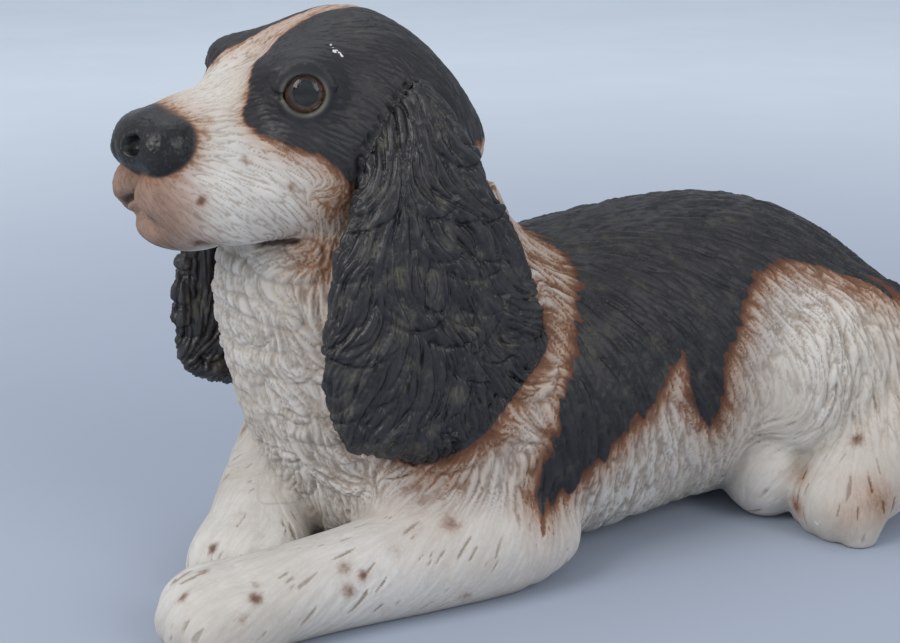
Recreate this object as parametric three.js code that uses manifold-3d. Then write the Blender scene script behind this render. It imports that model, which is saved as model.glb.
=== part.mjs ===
/*
 * A lying spaniel, hollow-cast in ceramic and assembled from separately moulded pieces.
 *
 * Millimetres, +Z up. The dog looks along -Y and its left side is +X. The origin is on the surface that
 * it lies on, under the middle of its outline.
 *
 * The trunk, the rump and the head are hollow castings, and the trunk and the rump are open to each other at
 * the joint between them. The head's round spigot stands in the neck of the trunk.
 * The ears, the legs, the paws and the tail are solid castings, trimmed to the body that they lie against
 * and luted on. Each eye is a glass cabochon with an enamelled iris and pupil behind it, set in a socket.
 */
import * as THREE from 'three';
import { LoftGeometry } from 'three/addons/geometries/LoftGeometry.js';
import { mergeVertices } from 'three/addons/utils/BufferGeometryUtils.js';
import Module from 'manifold-3d';

const wasm = await Module();
wasm.setup();

// ---------------------------------------------------------------- driving dimensions, mm

const WALL = 6;                 // thickness of the hollow castings
const LUTE_GAP = 0.35;          // joint line between two castings
const DRAIN_RADIUS = 13;        // drain hole in the sole of the trunk

const TRUNK_LENGTH = 336;       // breast to rump
const TRUNK_WIDTH = 132;
const BACK_HEIGHT = 127;        // sole to the top of the back
const BREAST_AT = -88;          // where the breast ends, ahead of the withers
const HIP_ROLL = 9;             // how far the rump is rolled over to the dog's right
const RUMP_JOINT = 104;         // where the rump casting is luted to the trunk casting, behind the withers

const NECK_JOINT = 127;         // height of the joint between trunk and head
const SPIGOT_RADIUS = 31;
const SPIGOT_DEPTH = 9;
const SPIGOT_AT = -34;          // centre of the spigot, ahead of the withers

const HEAD_LENGTH = 143;        // nose to the back of the skull
const HEAD_HEIGHT = 85;         // neck joint to the top of the skull
const HEAD_WIDTH = 86;          // over the cheeks
const HEAD_TURN = 3;            // degrees towards the dog's left

const EYE_RADIUS = 7;
const EYE_BULGE = 3.6;          // how far the glass stands out of its rim
const EYE_DEPTH = 5;            // depth of the socket behind the rim
const EYE_CLEARANCE = 0.3;
const IRIS_THICKNESS = 1.2;
const PUPIL_RADIUS = 3.5;
const EYE_SPREAD = 57;          // degrees that each eye looks away from straight ahead

const EAR_LENGTH = 134;
const EAR_WIDTH = 84;
const EAR_THICKNESS = 15;
const RIGHT_EAR_FORWARD = 14;   // how much further forward the right ear hangs

const FORELEG_LENGTH = 154;     // back of the elbow to the toes
const FORELEG_WIDTH = 40;
const FORELEG_HEIGHT = 36;

const THIGH_LENGTH = 108;
const THIGH_HEIGHT = 84;
const HIND_FOOT_LENGTH = 88;
const HIND_FOOT_WIDTH = 40;
const HIND_FOOT_HEIGHT = 42;

const TAIL_LENGTH = 78;
const TAIL_THICKNESS = 26;

// ---------------------------------------------------------------- solids

const GLAZE = {
  white: new THREE.MeshStandardMaterial({ color: 0xcfc8bd, roughness: 0.75, metalness: 0 }),
  black: new THREE.MeshStandardMaterial({ color: 0x2b2a2b, roughness: 0.6, metalness: 0 }),
  glass: new THREE.MeshStandardMaterial({ color: 0xf4f4f4, roughness: 0.05, metalness: 0 }),
  iris: new THREE.MeshStandardMaterial({ color: 0x3b2013, roughness: 0.35, metalness: 0 }),
  pupil: new THREE.MeshStandardMaterial({ color: 0x050505, roughness: 0.3, metalness: 0 }),
};

/** A closed geometry as a solid for cutting and joining. */
function solid(geometry, placing = new THREE.Matrix4()) {
  const bare = new THREE.BufferGeometry().setAttribute('position', geometry.getAttribute('position').clone());
  bare.setIndex(geometry.index);
  bare.applyMatrix4(placing);
  const merged = mergeVertices(bare, 1e-3);
  return new wasm.Manifold(new wasm.Mesh({
    numProp: 3,
    vertProperties: merged.attributes.position.array,
    triVerts: new Uint32Array(merged.index.array),
  }));
}

/** A solid as a geometry, moved by a matrix. */
function geometryOf(shape, placing = new THREE.Matrix4()) {
  const { numProp, vertProperties, triVerts } = shape.getMesh();
  const positions = [];
  for (let i = 0; i < vertProperties.length; i += numProp) {
    positions.push(vertProperties[i], vertProperties[i + 1], vertProperties[i + 2]);
  }
  return new THREE.BufferGeometry()
    .setAttribute('position', new THREE.Float32BufferAttribute(positions, 3))
    .setIndex([...triVerts])
    .applyMatrix4(placing);
}

const joined = (...shapes) => shapes.reduce((whole, shape) => whole.add(shape));

/** The largest of the bodies that a cut leaves. */
function largest(shape) {
  return shape.decompose().sort((a, b) => b.volume() - a.volume())[0];
}

/** A convex solid grown on all sides by the joint line. */
function grown(shape, by = LUTE_GAP) {
  const geometry = mergeVertices(geometryOf(shape), 1e-3);
  geometry.computeVertexNormals();
  const { position, normal } = geometry.attributes;
  for (let i = 0; i < position.count; i += 1) {
    position.setXYZ(
      i,
      position.getX(i) + by * normal.getX(i),
      position.getY(i) + by * normal.getY(i),
      position.getZ(i) + by * normal.getZ(i),
    );
  }
  return solid(geometry);
}

/** The cutter for whatever lies against a body: its masses, each grown by the joint line, and joined. */
const cutter = (masses, placing) => joined(...masses.map((mass) => grown(solid(geometryOf(mass, placing)))));

/** A box between two corners. */
function box(low, high) {
  const size = new THREE.Vector3().subVectors(high, low);
  const middle = new THREE.Vector3().addVectors(low, high).multiplyScalar(0.5);
  return solid(new THREE.BoxGeometry(size.x, size.y, size.z), new THREE.Matrix4().setPosition(middle));
}

const FAR = 1000;
const belowGround = box(new THREE.Vector3(-FAR, -FAR, -FAR), new THREE.Vector3(FAR, FAR, 0));

/** An upright round bar. */
function bar(radius, from, to, x, y, sides = 32) {
  const upright = new THREE.CylinderGeometry(radius, radius, to - from, sides).rotateX(Math.PI / 2);
  return solid(upright, new THREE.Matrix4().makeTranslation(x, y, (from + to) / 2));
}

/** An ellipsoid from its centre and its three half sizes. */
function ellipsoid(centre, half, around = 20, steps = 14) {
  const placing = new THREE.Matrix4().makeScale(...half).setPosition(...centre);
  return solid(new THREE.SphereGeometry(1, around, steps).rotateX(Math.PI / 2), placing);
}

/**
 * A body lofted through slices. Each slice is [place along the axis, low and high edge across, low and high
 * edge along the third axis], in the cyclic order of the axes: y, z, x or z, x, y. The ends are rounded.
 */
function loft(axis, slices, { around = 28, steps = 18, round = 0.22, squareness = 2 } = {}) {
  const column = (k) => new THREE.SplineCurve(slices.map((slice, i) => new THREE.Vector2(i, slice[k])));
  const columns = [0, 1, 2, 3, 4].map(column);
  const place = { y: (s, z, x) => new THREE.Vector3(x, s, z), z: (s, x, y) => new THREE.Vector3(x, y, s) }[axis];
  const bent = (value) => Math.sign(value) * Math.abs(value) ** (2 / squareness);
  const sections = [];
  for (let i = 0; i <= steps; i += 1) {
    const t = (1 - Math.cos((Math.PI * (i + 0.15)) / (steps + 0.3))) / 2;
    const fromEnd = Math.min(t, 1 - t, round) / round;
    const swell = Math.sqrt(1 - (1 - fromEnd) ** 2);
    const [s, a0, a1, b0, b1] = columns.map((curve) => curve.getPoint(t).y);
    const section = [];
    for (let j = 0; j < around; j += 1) {
      const angle = (2 * Math.PI * (j + 0.5)) / around;
      section.push(place(
        s,
        (a0 + a1) / 2 + swell * bent(Math.cos(angle)) * (a1 - a0) / 2,
        (b0 + b1) / 2 + swell * bent(Math.sin(angle)) * (b1 - b0) / 2,
      ));
    }
    sections.push(section);
  }
  return solid(new LoftGeometry(sections, { capStart: true, capEnd: true }));
}

/** Slices [y, low, high, half width, sideways shift] for a loft along the body. */
const lengthwise = (slices) => slices.map(([y, low, high, half, shift = 0]) => [y, low, high, shift - half, shift + half]);

/** Slices [z, half width, front, back, sideways shift] for an upright loft. */
const upright = (slices) => slices.map(([z, half, front, back, shift = 0]) => [z, shift - half, shift + half, front, back]);

/** The same slices drawn in by a wall on every side. */
const drawnIn = (slices, wall) => slices.map(([s, a0, a1, b0, b1]) => [s, a0 + wall, a1 - wall, b0 + wall, b1 - wall]);

// ---------------------------------------------------------------- trunk and neck

// Shares of the trunk's length, back height and half width, from the breast to the rump.
const TRUNK_FORM = [
  [0.06, 0.10, 0.56, 0.42, 0],
  [0.14, 0.00, 0.74, 0.78, 0],
  [0.25, -0.06, 0.88, 0.95, 0],
  [0.40, -0.03, 0.95, 0.97, 0],
  [0.54, -0.01, 0.99, 0.90, -0.1],
  [0.67, -0.01, 0.97, 0.90, -0.4],
  [0.76, -0.02, 0.88, 0.92, -0.7],
  [0.84, -0.04, 0.75, 0.88, -0.9],
  [0.92, -0.04, 0.58, 0.76, -1.0],
  [1.00, 0.02, 0.40, 0.50, -1.0],
];
const trunkY = (share) => BREAST_AT + share * TRUNK_LENGTH;
const trunkSlices = lengthwise(TRUNK_FORM.map(([along, low, high, half, roll]) => [
  trunkY(along), low * BACK_HEIGHT, high * BACK_HEIGHT, half * TRUNK_WIDTH / 2, roll * HIP_ROLL,
]));

// Shares of the neck joint's height, half the trunk's width, and millimetres ahead of and behind the withers.
const NECK_TOP = 1.32;
const NECK_FORM = [
  [0.00, 0.40, -52, 30],
  [0.22, 0.66, -66, 34],
  [0.50, 0.82, -84, 42],
  [0.76, 0.80, -91, 40],
  [0.92, 0.72, -92, 29],
  [1.04, 0.65, -86, 19],
  [1.18, 0.58, -66, 11],
  [NECK_TOP, 0.50, -52, 3],
];
const neckSlices = upright(NECK_FORM.map(([height, half, front, back]) => [
  height * NECK_JOINT, half * TRUNK_WIDTH / 2, front, back,
]));

const trunkBody = loft('y', trunkSlices, { around: 30, steps: 22, round: 0.16, squareness: 2.15 });
const neckBody = loft('z', neckSlices, { around: 26, steps: 14, round: 0.1, squareness: 2.1 });
const aboveJoint = box(new THREE.Vector3(-FAR, -FAR, NECK_JOINT), new THREE.Vector3(FAR, FAR, FAR));
const belowJoint = box(new THREE.Vector3(-FAR, -FAR, -FAR), new THREE.Vector3(FAR, FAR, NECK_JOINT + LUTE_GAP));
const trunkOuter = joined(trunkBody, neckBody).subtract(aboveJoint).subtract(belowGround);

/** The hollow shell of the trunk, the neck and the rump, before it is parted at the rump joint. */
function trunkShell() {
  const trunkHollow = loft('y', drawnIn(trunkSlices, WALL).slice(1, -1), { around: 18, steps: 11 });
  const neckHollow = loft('z', drawnIn(neckSlices, WALL).slice(1, 5), { around: 18, steps: 6 });
  const hollow = joined(trunkHollow, neckHollow);
  const floor = box(new THREE.Vector3(-FAR, -FAR, -FAR), new THREE.Vector3(FAR, FAR, WALL));
  const roof = box(
    new THREE.Vector3(-FAR, -FAR, NECK_JOINT - SPIGOT_DEPTH - WALL),
    new THREE.Vector3(FAR, FAR, FAR),
  );
  const collar = bar(SPIGOT_RADIUS + LUTE_GAP, NECK_JOINT / 2, NECK_JOINT + WALL, 0, SPIGOT_AT);
  const drain = bar(DRAIN_RADIUS, -WALL, 2 * WALL, 0, trunkY(0.5), 24);
  return trunkOuter.subtract(hollow.subtract(floor).subtract(roof)).subtract(collar).subtract(drain);
}

// ---------------------------------------------------------------- head, in its own frame on the spigot's axis

const headFrame = new THREE.Group();
headFrame.position.set(0, SPIGOT_AT, NECK_JOINT);
headFrame.rotation.z = THREE.MathUtils.degToRad(HEAD_TURN);
headFrame.updateMatrixWorld(true);
const toHead = headFrame.matrixWorld.clone().invert();

const NOSE_AT = -97 / 143;       // share of the head's length that lies ahead of the spigot
const headY = (share) => (NOSE_AT + share) * HEAD_LENGTH;
const headForm = (form) => lengthwise(form.map(([along, low, high, half, shift = 0]) => [
  headY(along), low * HEAD_HEIGHT, high * HEAD_HEIGHT, half * HEAD_WIDTH / 2, shift * HEAD_WIDTH / 2,
]));
const headPoint = (side, along, height) => [side * HEAD_WIDTH / 2, headY(along), height * HEAD_HEIGHT];
const headSize = (side, along, height) => [side * HEAD_WIDTH / 2, along * HEAD_LENGTH, height * HEAD_HEIGHT];

// Shares of the head's length from the nose, its height from the neck joint, and half its width.
const SKULL_FORM = [
  [0.22, 0.40, 0.68, 0.36],
  [0.31, 0.26, 0.80, 0.62],
  [0.40, 0.16, 0.90, 0.84],
  [0.52, 0.12, 0.975, 0.93],
  [0.64, 0.12, 1.00, 0.95],
  [0.75, 0.14, 0.93, 0.90],
  [0.84, 0.18, 0.78, 0.78],
  [0.90, 0.22, 0.64, 0.64],
  [0.94, 0.26, 0.54, 0.50],
];
const MUZZLE_FORM = [
  [0.03, 0.30, 0.58, 0.36],
  [0.08, 0.17, 0.655, 0.52],
  [0.18, 0.09, 0.705, 0.60],
  [0.31, 0.05, 0.74, 0.68],
  [0.44, 0.05, 0.77, 0.80],
  [0.60, 0.10, 0.76, 0.86],
];

const skull = loft('y', headForm(SKULL_FORM), { around: 28, steps: 17, round: 0.1, squareness: 2.15 });
const muzzle = loft('y', headForm(MUZZLE_FORM), { around: 24, steps: 13, round: 0.2, squareness: 2.4 });
const upperNeck = geometryOf(neckBody, toHead);
const nose = ellipsoid(headPoint(0, 0.105, 0.50), headSize(0.45, 0.105, 0.16), 20, 12);
const chin = ellipsoid(headPoint(0, 0.12, 0.2), headSize(0.34, 0.1, 0.12), 14, 9);
const bothSides = (make) => [make(1), make(-1)];
const lips = bothSides((side) => ellipsoid(headPoint(0.28 * side, 0.135, 0.32), headSize(0.33, 0.125, 0.19), 16, 10));
const brows = bothSides((side) => ellipsoid(headPoint(0.52 * side, 0.40, 0.78), headSize(0.34, 0.12, 0.105), 16, 10));
const cheeks = bothSides((side) => ellipsoid(headPoint(0.56 * side, 0.58, 0.34), headSize(0.37, 0.25, 0.3), 16, 10));

/** The matrix of an eye: its own +Z looks out of the socket. */
function eyeMatrix(side) {
  const outward = new THREE.Euler(
    THREE.MathUtils.degToRad(90 - 4),
    0,
    THREE.MathUtils.degToRad(side * EYE_SPREAD),
    'ZXY',
  );
  const [x, y, z] = headPoint(0.78 * side, 0.385, 0.72);
  return new THREE.Matrix4().makeRotationFromEuler(outward).setPosition(x, y, z);
}

/** A short round bar along an eye's axis, from and to being places on that axis. */
function eyeBar(radius, from, to, side, sides = 24) {
  const round = new THREE.CylinderGeometry(radius, radius, to - from, sides).rotateX(Math.PI / 2);
  return solid(round.translate(0, 0, (from + to) / 2), eyeMatrix(side));
}

const orbits = bothSides((side) => {
  const rim = new THREE.SphereGeometry(1, 18, 10).rotateX(Math.PI / 2);
  rim.scale(EYE_RADIUS + 5, EYE_RADIUS + 4.5, EYE_DEPTH + 1).translate(0, 0, -EYE_DEPTH);
  return solid(rim, eyeMatrix(side));
});

const headMasses = [skull, muzzle, solid(upperNeck), nose, chin, ...lips, ...brows, ...cheeks, ...orbits];
const headOuter = joined(...headMasses).subtract(solid(geometryOf(belowJoint, toHead)));

function headCasting() {
  const hollow = loft('y', drawnIn(headForm(SKULL_FORM).slice(2), WALL + 1), { around: 16, steps: 8 })
    .subtract(box(new THREE.Vector3(-FAR, -FAR, -FAR), new THREE.Vector3(FAR, FAR, LUTE_GAP)));
  const spigot = bar(SPIGOT_RADIUS, -SPIGOT_DEPTH, WALL, 0, 0);
  const bore = bar(SPIGOT_RADIUS - WALL, -2 * SPIGOT_DEPTH, 0.4 * HEAD_HEIGHT, 0, 0);
  const sockets = joined(...bothSides((side) => eyeBar(EYE_RADIUS + EYE_CLEARANCE, -EYE_DEPTH, 2 * EYE_RADIUS, side)));
  const pads = joined(...bothSides((side) => eyeBar(EYE_RADIUS + 3, -EYE_DEPTH - 4, -EYE_DEPTH, side)));
  return joined(headOuter, spigot).subtract(hollow.subtract(pads)).subtract(bore).subtract(sockets);
}

// ---------------------------------------------------------------- eyes, each in its own socket

const PUPIL_THICKNESS = 0.6;
const irisBack = -EYE_DEPTH + EYE_CLEARANCE;
const pupilBack = irisBack + IRIS_THICKNESS + EYE_CLEARANCE;
const glassBack = pupilBack + PUPIL_THICKNESS + EYE_CLEARANCE;

/** A clear cabochon: a flat back, a straight edge and a domed face. */
function eyeGlass() {
  const profile = [new THREE.Vector2(0, glassBack), new THREE.Vector2(EYE_RADIUS, glassBack)];
  const edge = 0.2;
  for (let i = 0; i <= 6; i += 1) {
    const angle = (i / 6) * Math.PI / 2;
    const radius = i === 6 ? 0 : EYE_RADIUS * Math.cos(angle);
    profile.push(new THREE.Vector2(radius, edge + (EYE_BULGE - edge) * Math.sin(angle)));
  }
  return new THREE.LatheGeometry(profile, 24).rotateX(Math.PI / 2);
}

function disc(radius, from, thickness, sides) {
  return new THREE.CylinderGeometry(radius, radius, thickness, sides)
    .rotateX(Math.PI / 2)
    .translate(0, 0, from + thickness / 2);
}

// ---------------------------------------------------------------- ears, in the head's frame

// Shares of the ear's length up from its tip, its width from the front edge, and its thickness.
const EAR_FORM = [
  [0.00, 0.30, 0.64, -0.15, 0.80],
  [0.10, 0.10, 0.90, -0.15, 1.00],
  [0.24, 0.01, 0.99, -0.10, 1.05],
  [0.42, 0.01, 0.965, -0.15, 1.02],
  [0.58, 0.07, 0.885, -0.30, 0.90],
  [0.72, 0.17, 0.795, -0.55, 0.66],
  [0.86, 0.28, 0.70, -0.90, 0.36],
  [1.00, 0.40, 0.62, -1.10, 0.02],
];
const EAR_TIP = -71;             // height of the ear's tip over the neck joint
const EAR_FRONT = -44;           // front edge, ahead of the spigot's axis
const EAR_INNER = 47;            // inner face at the tip, from the middle of the head

function earLoft(side) {
  const slices = EAR_FORM.map(([up, front, back, inner, outer]) => {
    const across = [inner, outer].map((share) => side * (EAR_INNER + share * EAR_THICKNESS)).sort((a, b) => a - b);
    const forward = EAR_FRONT - (side < 0 ? RIGHT_EAR_FORWARD * (1 - up) : 0);
    return [EAR_TIP + up * EAR_LENGTH, ...across, forward + front * EAR_WIDTH, forward + back * EAR_WIDTH];
  });
  return loft('z', slices, { around: 24, steps: 16, round: 0.16, squareness: 2.3 });
}

// ---------------------------------------------------------------- legs and tail

/**
 * A limb swept through stations [x, y, z, half width, half height]. The width is level and square to the
 * limb's run, the height square to both. The ends are rounded.
 */
function limb(stations, { around = 18, steps = 12, round = 0.16, squareness = 2.2 } = {}) {
  const run = new THREE.CatmullRomCurve3(stations.map(([x, y, z]) => new THREE.Vector3(x, y, z)), false, 'centripetal');
  const girth = new THREE.SplineCurve(stations.map(([, , , wide, high]) => new THREE.Vector2(wide, high)));
  const bent = (value) => Math.sign(value) * Math.abs(value) ** (2 / squareness);
  const sections = [];
  for (let i = 0; i <= steps; i += 1) {
    const t = (1 - Math.cos((Math.PI * (i + 0.15)) / (steps + 0.3))) / 2;
    const fromEnd = Math.min(t, 1 - t, round) / round;
    const swell = Math.sqrt(1 - (1 - fromEnd) ** 2);
    const middle = run.getPoint(t);
    const along = run.getTangent(t);
    const across = new THREE.Vector3(along.y, -along.x, 0).normalize();
    const up = new THREE.Vector3().crossVectors(across, along);
    const size = girth.getPoint(t);
    const section = [];
    for (let j = 0; j < around; j += 1) {
      const angle = (-2 * Math.PI * (j + 0.5)) / around;
      section.push(middle.clone()
        .addScaledVector(across, swell * size.x * bent(Math.cos(angle)))
        .addScaledVector(up, swell * size.y * bent(Math.sin(angle))));
    }
    sections.push(section);
  }
  return solid(new LoftGeometry(sections, { capStart: true, capEnd: true }));
}

/** Four toes side by side, reaching forward from the origin. */
function toes(width, length, height) {
  const spread = [-0.35, -0.125, 0.125, 0.35];
  const reach = [0.0, 0.12, 0.12, 0.0];
  return spread.map((share, i) => ellipsoid(
    [share * width, -(0.42 + reach[i]) * length, 0.4 * height],
    [0.175 * width, 0.5 * length, 0.58 * height],
    10,
    8,
  ));
}

/** The matrix of a part that stands on the ground and is turned about the vertical, anticlockwise from above. */
function standing(x, y, turn) {
  return new THREE.Matrix4().makeRotationZ(THREE.MathUtils.degToRad(turn)).setPosition(x, y, 0);
}

const paw = (x, y, turn, ...size) => toes(...size).map((toe) => solid(geometryOf(toe), standing(x, y, turn)));
const [LW, LH] = [FORELEG_WIDTH / 2, FORELEG_HEIGHT / 2];

/** The left foreleg, lying forward with its elbow under the ear and its upper arm against the shoulder. */
function leftForelegBody() {
  const x = 0.77 * TRUNK_WIDTH / 2;
  const elbow = trunkY(0.265) + 0.08 * FORELEG_LENGTH;
  const back = (share) => elbow - share * FORELEG_LENGTH;
  const forearm = limb([
    [x + 3, back(0.00), LH - 2, 0.7 * LW, 0.66 * LH],
    [x + 2, back(0.12), LH, 0.98 * LW, 1.1 * LH],
    [x, back(0.35), LH - 1, LW, 1.08 * LH],
    [x - 1, back(0.58), LH - 3, 0.92 * LW, 0.95 * LH],
    [x - 2, back(0.80), LH - 5, 1.0 * LW, 0.88 * LH],
    [x - 2, back(0.90), LH - 6, 0.94 * LW, 0.72 * LH],
  ]);
  const arm = ellipsoid([x - 12, back(0.22), 1.95 * LH], [0.9 * LW, 32, 2.1 * LH], 18, 12);
  return [forearm, arm, ...paw(x - 2, back(0.78), -2, 1.05 * FORELEG_WIDTH, 0.22 * FORELEG_LENGTH, 1.35 * LH)];
}

/** The right foreleg, folded: it slants from the shoulder to a paw that is tucked in before the chest. */
function rightForelegBody() {
  const x = -0.78 * TRUNK_WIDTH / 2;
  const shoulder = trunkY(0.17);
  const forearm = limb([
    [x - 4, shoulder + 14, 3.9 * LH, 0.9 * LW, 1.0 * LH],
    [x + 8, shoulder - 8, 2.9 * LH, 1.1 * LW, 1.25 * LH],
    [x + 28, shoulder - 31, 1.75 * LH, 1.08 * LW, 1.2 * LH],
    [x + 51, shoulder - 51, 0.95 * LH, 1.02 * LW, 0.95 * LH],
    [x + 64, shoulder - 62, 0.72 * LH, 0.9 * LW, 0.7 * LH],
  ]);
  const elbow = limb([
    [x - 2, shoulder + 66, 1.2 * LH, 0.8 * LW, 0.9 * LH],
    [x - 5, shoulder + 38, 1.3 * LH, 1.05 * LW, 1.25 * LH],
    [x + 8, shoulder + 4, 1.3 * LH, 1.1 * LW, 1.3 * LH],
    [x + 26, shoulder - 22, 1.0 * LH, 1.0 * LW, 1.0 * LH],
  ]);
  return [forearm, elbow, ...paw(x + 52, shoulder - 51, 48, FORELEG_WIDTH, 0.22 * FORELEG_LENGTH, 1.3 * LH)];
}

const [HW, HH] = [HIND_FOOT_WIDTH / 2, HIND_FOOT_HEIGHT / 2];

/** The left thigh, and the hock and foot that slant down beside it to the toes. */
function leftHindBody() {
  const hip = trunkY(0.74);
  const [x, hock] = [0.92 * TRUNK_WIDTH / 2, trunkY(0.91)];
  const back = (share) => hock - share * HIND_FOOT_LENGTH;
  const thigh = ellipsoid([0.58 * TRUNK_WIDTH / 2, hip, 0.42 * BACK_HEIGHT], [38, THIGH_LENGTH / 2, THIGH_HEIGHT / 2], 26, 16);
  const foot = limb([
    [x - 2, back(-0.06), 2.2 * HH, 0.8 * HW, 1.0 * HH],
    [x + 6, back(0.24), 2.35 * HH, 1.1 * HW, 1.2 * HH],
    [x + 11, back(0.55), 1.7 * HH, 1.15 * HW, 1.15 * HH],
    [x + 8, back(0.80), 1.0 * HH, 1.1 * HW, 0.98 * HH],
    [x + 4, back(0.95), 0.65 * HH, 1.0 * HW, 0.68 * HH],
  ]);
  return [thigh, foot, ...paw(x + 5, back(0.84), 4, 1.02 * HIND_FOOT_WIDTH, 0.2 * HIND_FOOT_LENGTH, 1.1 * HH)];
}

/** The right hind foot, showing end on from under the belly on the dog's left. */
function rightHindBody() {
  const [x, y] = [0.6 * TRUNK_WIDTH / 2, trunkY(0.64)];
  return [limb([
    [x - 32, y + 8, HH, 0.9 * HW, 1.1 * HH],
    [x - 14, y + 5, 1.1 * HH, 1.04 * HW, 1.26 * HH],
    [x + 4, y + 1, 1.02 * HH, 1.04 * HW, 1.16 * HH],
    [x + 15, y - 1, 0.84 * HH, 0.9 * HW, 0.9 * HH],
  ], { around: 18, steps: 10, round: 0.3 })];
}

/** The tail, from its root at the rump down to the ground and round to the dog's left. */
function tailBody() {
  const root = trunkY(0.94);
  const half = TAIL_THICKNESS / 2;
  return [limb([
    [-6, root - 6, 0.42 * BACK_HEIGHT, half, half],
    [-4, root + 0.22 * TAIL_LENGTH, 0.34 * BACK_HEIGHT, half, half],
    [4, root + 0.5 * TAIL_LENGTH, 0.17 * BACK_HEIGHT, 1.05 * half, half],
    [22, root + 0.62 * TAIL_LENGTH, 0.1 * BACK_HEIGHT, half, 0.9 * half],
    [44, root + 0.56 * TAIL_LENGTH, 0.07 * BACK_HEIGHT, 0.8 * half, 0.7 * half],
  ], { around: 16, steps: 12 })];
}

// ---------------------------------------------------------------- the assembled dog

const dog = new THREE.Group();
dog.name = 'lying_spaniel';
dog.add(headFrame);

/** Adds a named mesh to a group. The geometry is in that group's frame. */
function add(name, geometry, material, group = dog) {
  const mesh = new THREE.Mesh(geometry, material);
  mesh.name = name;
  group.add(mesh);
  return mesh;
}

/** A solid in the dog's frame as a geometry around a limb's own frame, and the mesh placed there. */
function addLimb(name, shape, placing, material) {
  const mesh = add(name, geometryOf(shape, placing.clone().invert()), material);
  mesh.applyMatrix4(placing);
  return mesh;
}

const body = trunkShell();
const behind = box(new THREE.Vector3(-FAR, RUMP_JOINT - LUTE_GAP / 2, -FAR), new THREE.Vector3(FAR, FAR, FAR));
const ahead = box(new THREE.Vector3(-FAR, -FAR, -FAR), new THREE.Vector3(FAR, RUMP_JOINT + LUTE_GAP / 2, FAR));
add('trunk_casting', geometryOf(body.subtract(behind)), GLAZE.white);
add('rump_casting', geometryOf(body.subtract(ahead)), GLAZE.white);
add('head_casting', geometryOf(headCasting()), GLAZE.white, headFrame);

const bodyCut = cutter([trunkBody, neckBody]);
const headCut = cutter(headMasses, headFrame.matrixWorld);

const earCuts = [];
for (const [side, name] of [[1, 'left'], [-1, 'right']]) {
  const flap = earLoft(side);
  const ear = largest(solid(geometryOf(flap, headFrame.matrixWorld)).subtract(headCut).subtract(bodyCut));
  add(`${name}_ear`, geometryOf(ear, toHead), GLAZE.black, headFrame);
  earCuts.push(cutter([flap], headFrame.matrixWorld));

  const eye = new THREE.Group();
  eye.applyMatrix4(eyeMatrix(side));
  headFrame.add(eye);
  add(`${name}_eye_glass`, eyeGlass(), GLAZE.glass, eye);
  add(`${name}_eye_pupil`, disc(PUPIL_RADIUS, pupilBack, PUPIL_THICKNESS, 16), GLAZE.pupil, eye);
  add(`${name}_eye_iris`, disc(EYE_RADIUS, irisBack, IRIS_THICKNESS, 24), GLAZE.iris, eye);
}

/** A limb in its place, trimmed to the ground, the trunk, the ears that lie over it and its neighbours. */
function placed(masses, ...neighbours) {
  const cuts = [belowGround, bodyCut, ...earCuts, ...neighbours];
  return largest(cuts.reduce((rest, cut) => rest.subtract(cut), joined(...masses)));
}

const leftForeleg = leftForelegBody();
addLimb('left_foreleg', placed(leftForeleg), standing(0.77 * TRUNK_WIDTH / 2, trunkY(0.27), 0), GLAZE.white);
const rightForeleg = placed(rightForelegBody(), cutter(leftForeleg));
addLimb('right_foreleg', rightForeleg, standing(-0.78 * TRUNK_WIDTH / 2, trunkY(0.17), 48), GLAZE.white);

const leftHind = leftHindBody();
addLimb('left_hind_leg', placed(leftHind), standing(0.92 * TRUNK_WIDTH / 2, trunkY(0.91), 4), GLAZE.white);
const rightHind = placed(rightHindBody(), cutter(leftHind));
addLimb('right_hind_paw', rightHind, standing(0.6 * TRUNK_WIDTH / 2, trunkY(0.64), 84), GLAZE.white);

add('tail', geometryOf(placed(tailBody(), cutter(leftHind))), GLAZE.black);

// The origin goes under the middle of the whole outline.
const outline = new THREE.Box3().setFromObject(dog, true);
const centre = outline.getCenter(new THREE.Vector3());
const spaniel = new THREE.Group();
dog.position.set(-centre.x, -centre.y, 0);
spaniel.add(dog);

export default spaniel;
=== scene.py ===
"""A lying black and white spaniel in hand-painted ceramic.

The figure is modelled as one flowing field of blended masses, in millimetres, and cut into the same pieces
as the CAD castings. Hair is combed over it along a flow, carved as locks and strands, and painted.
"""
import math
from functools import reduce

import bpy
import numpy as np
import openvdb
from mathutils import Matrix, Vector


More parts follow.
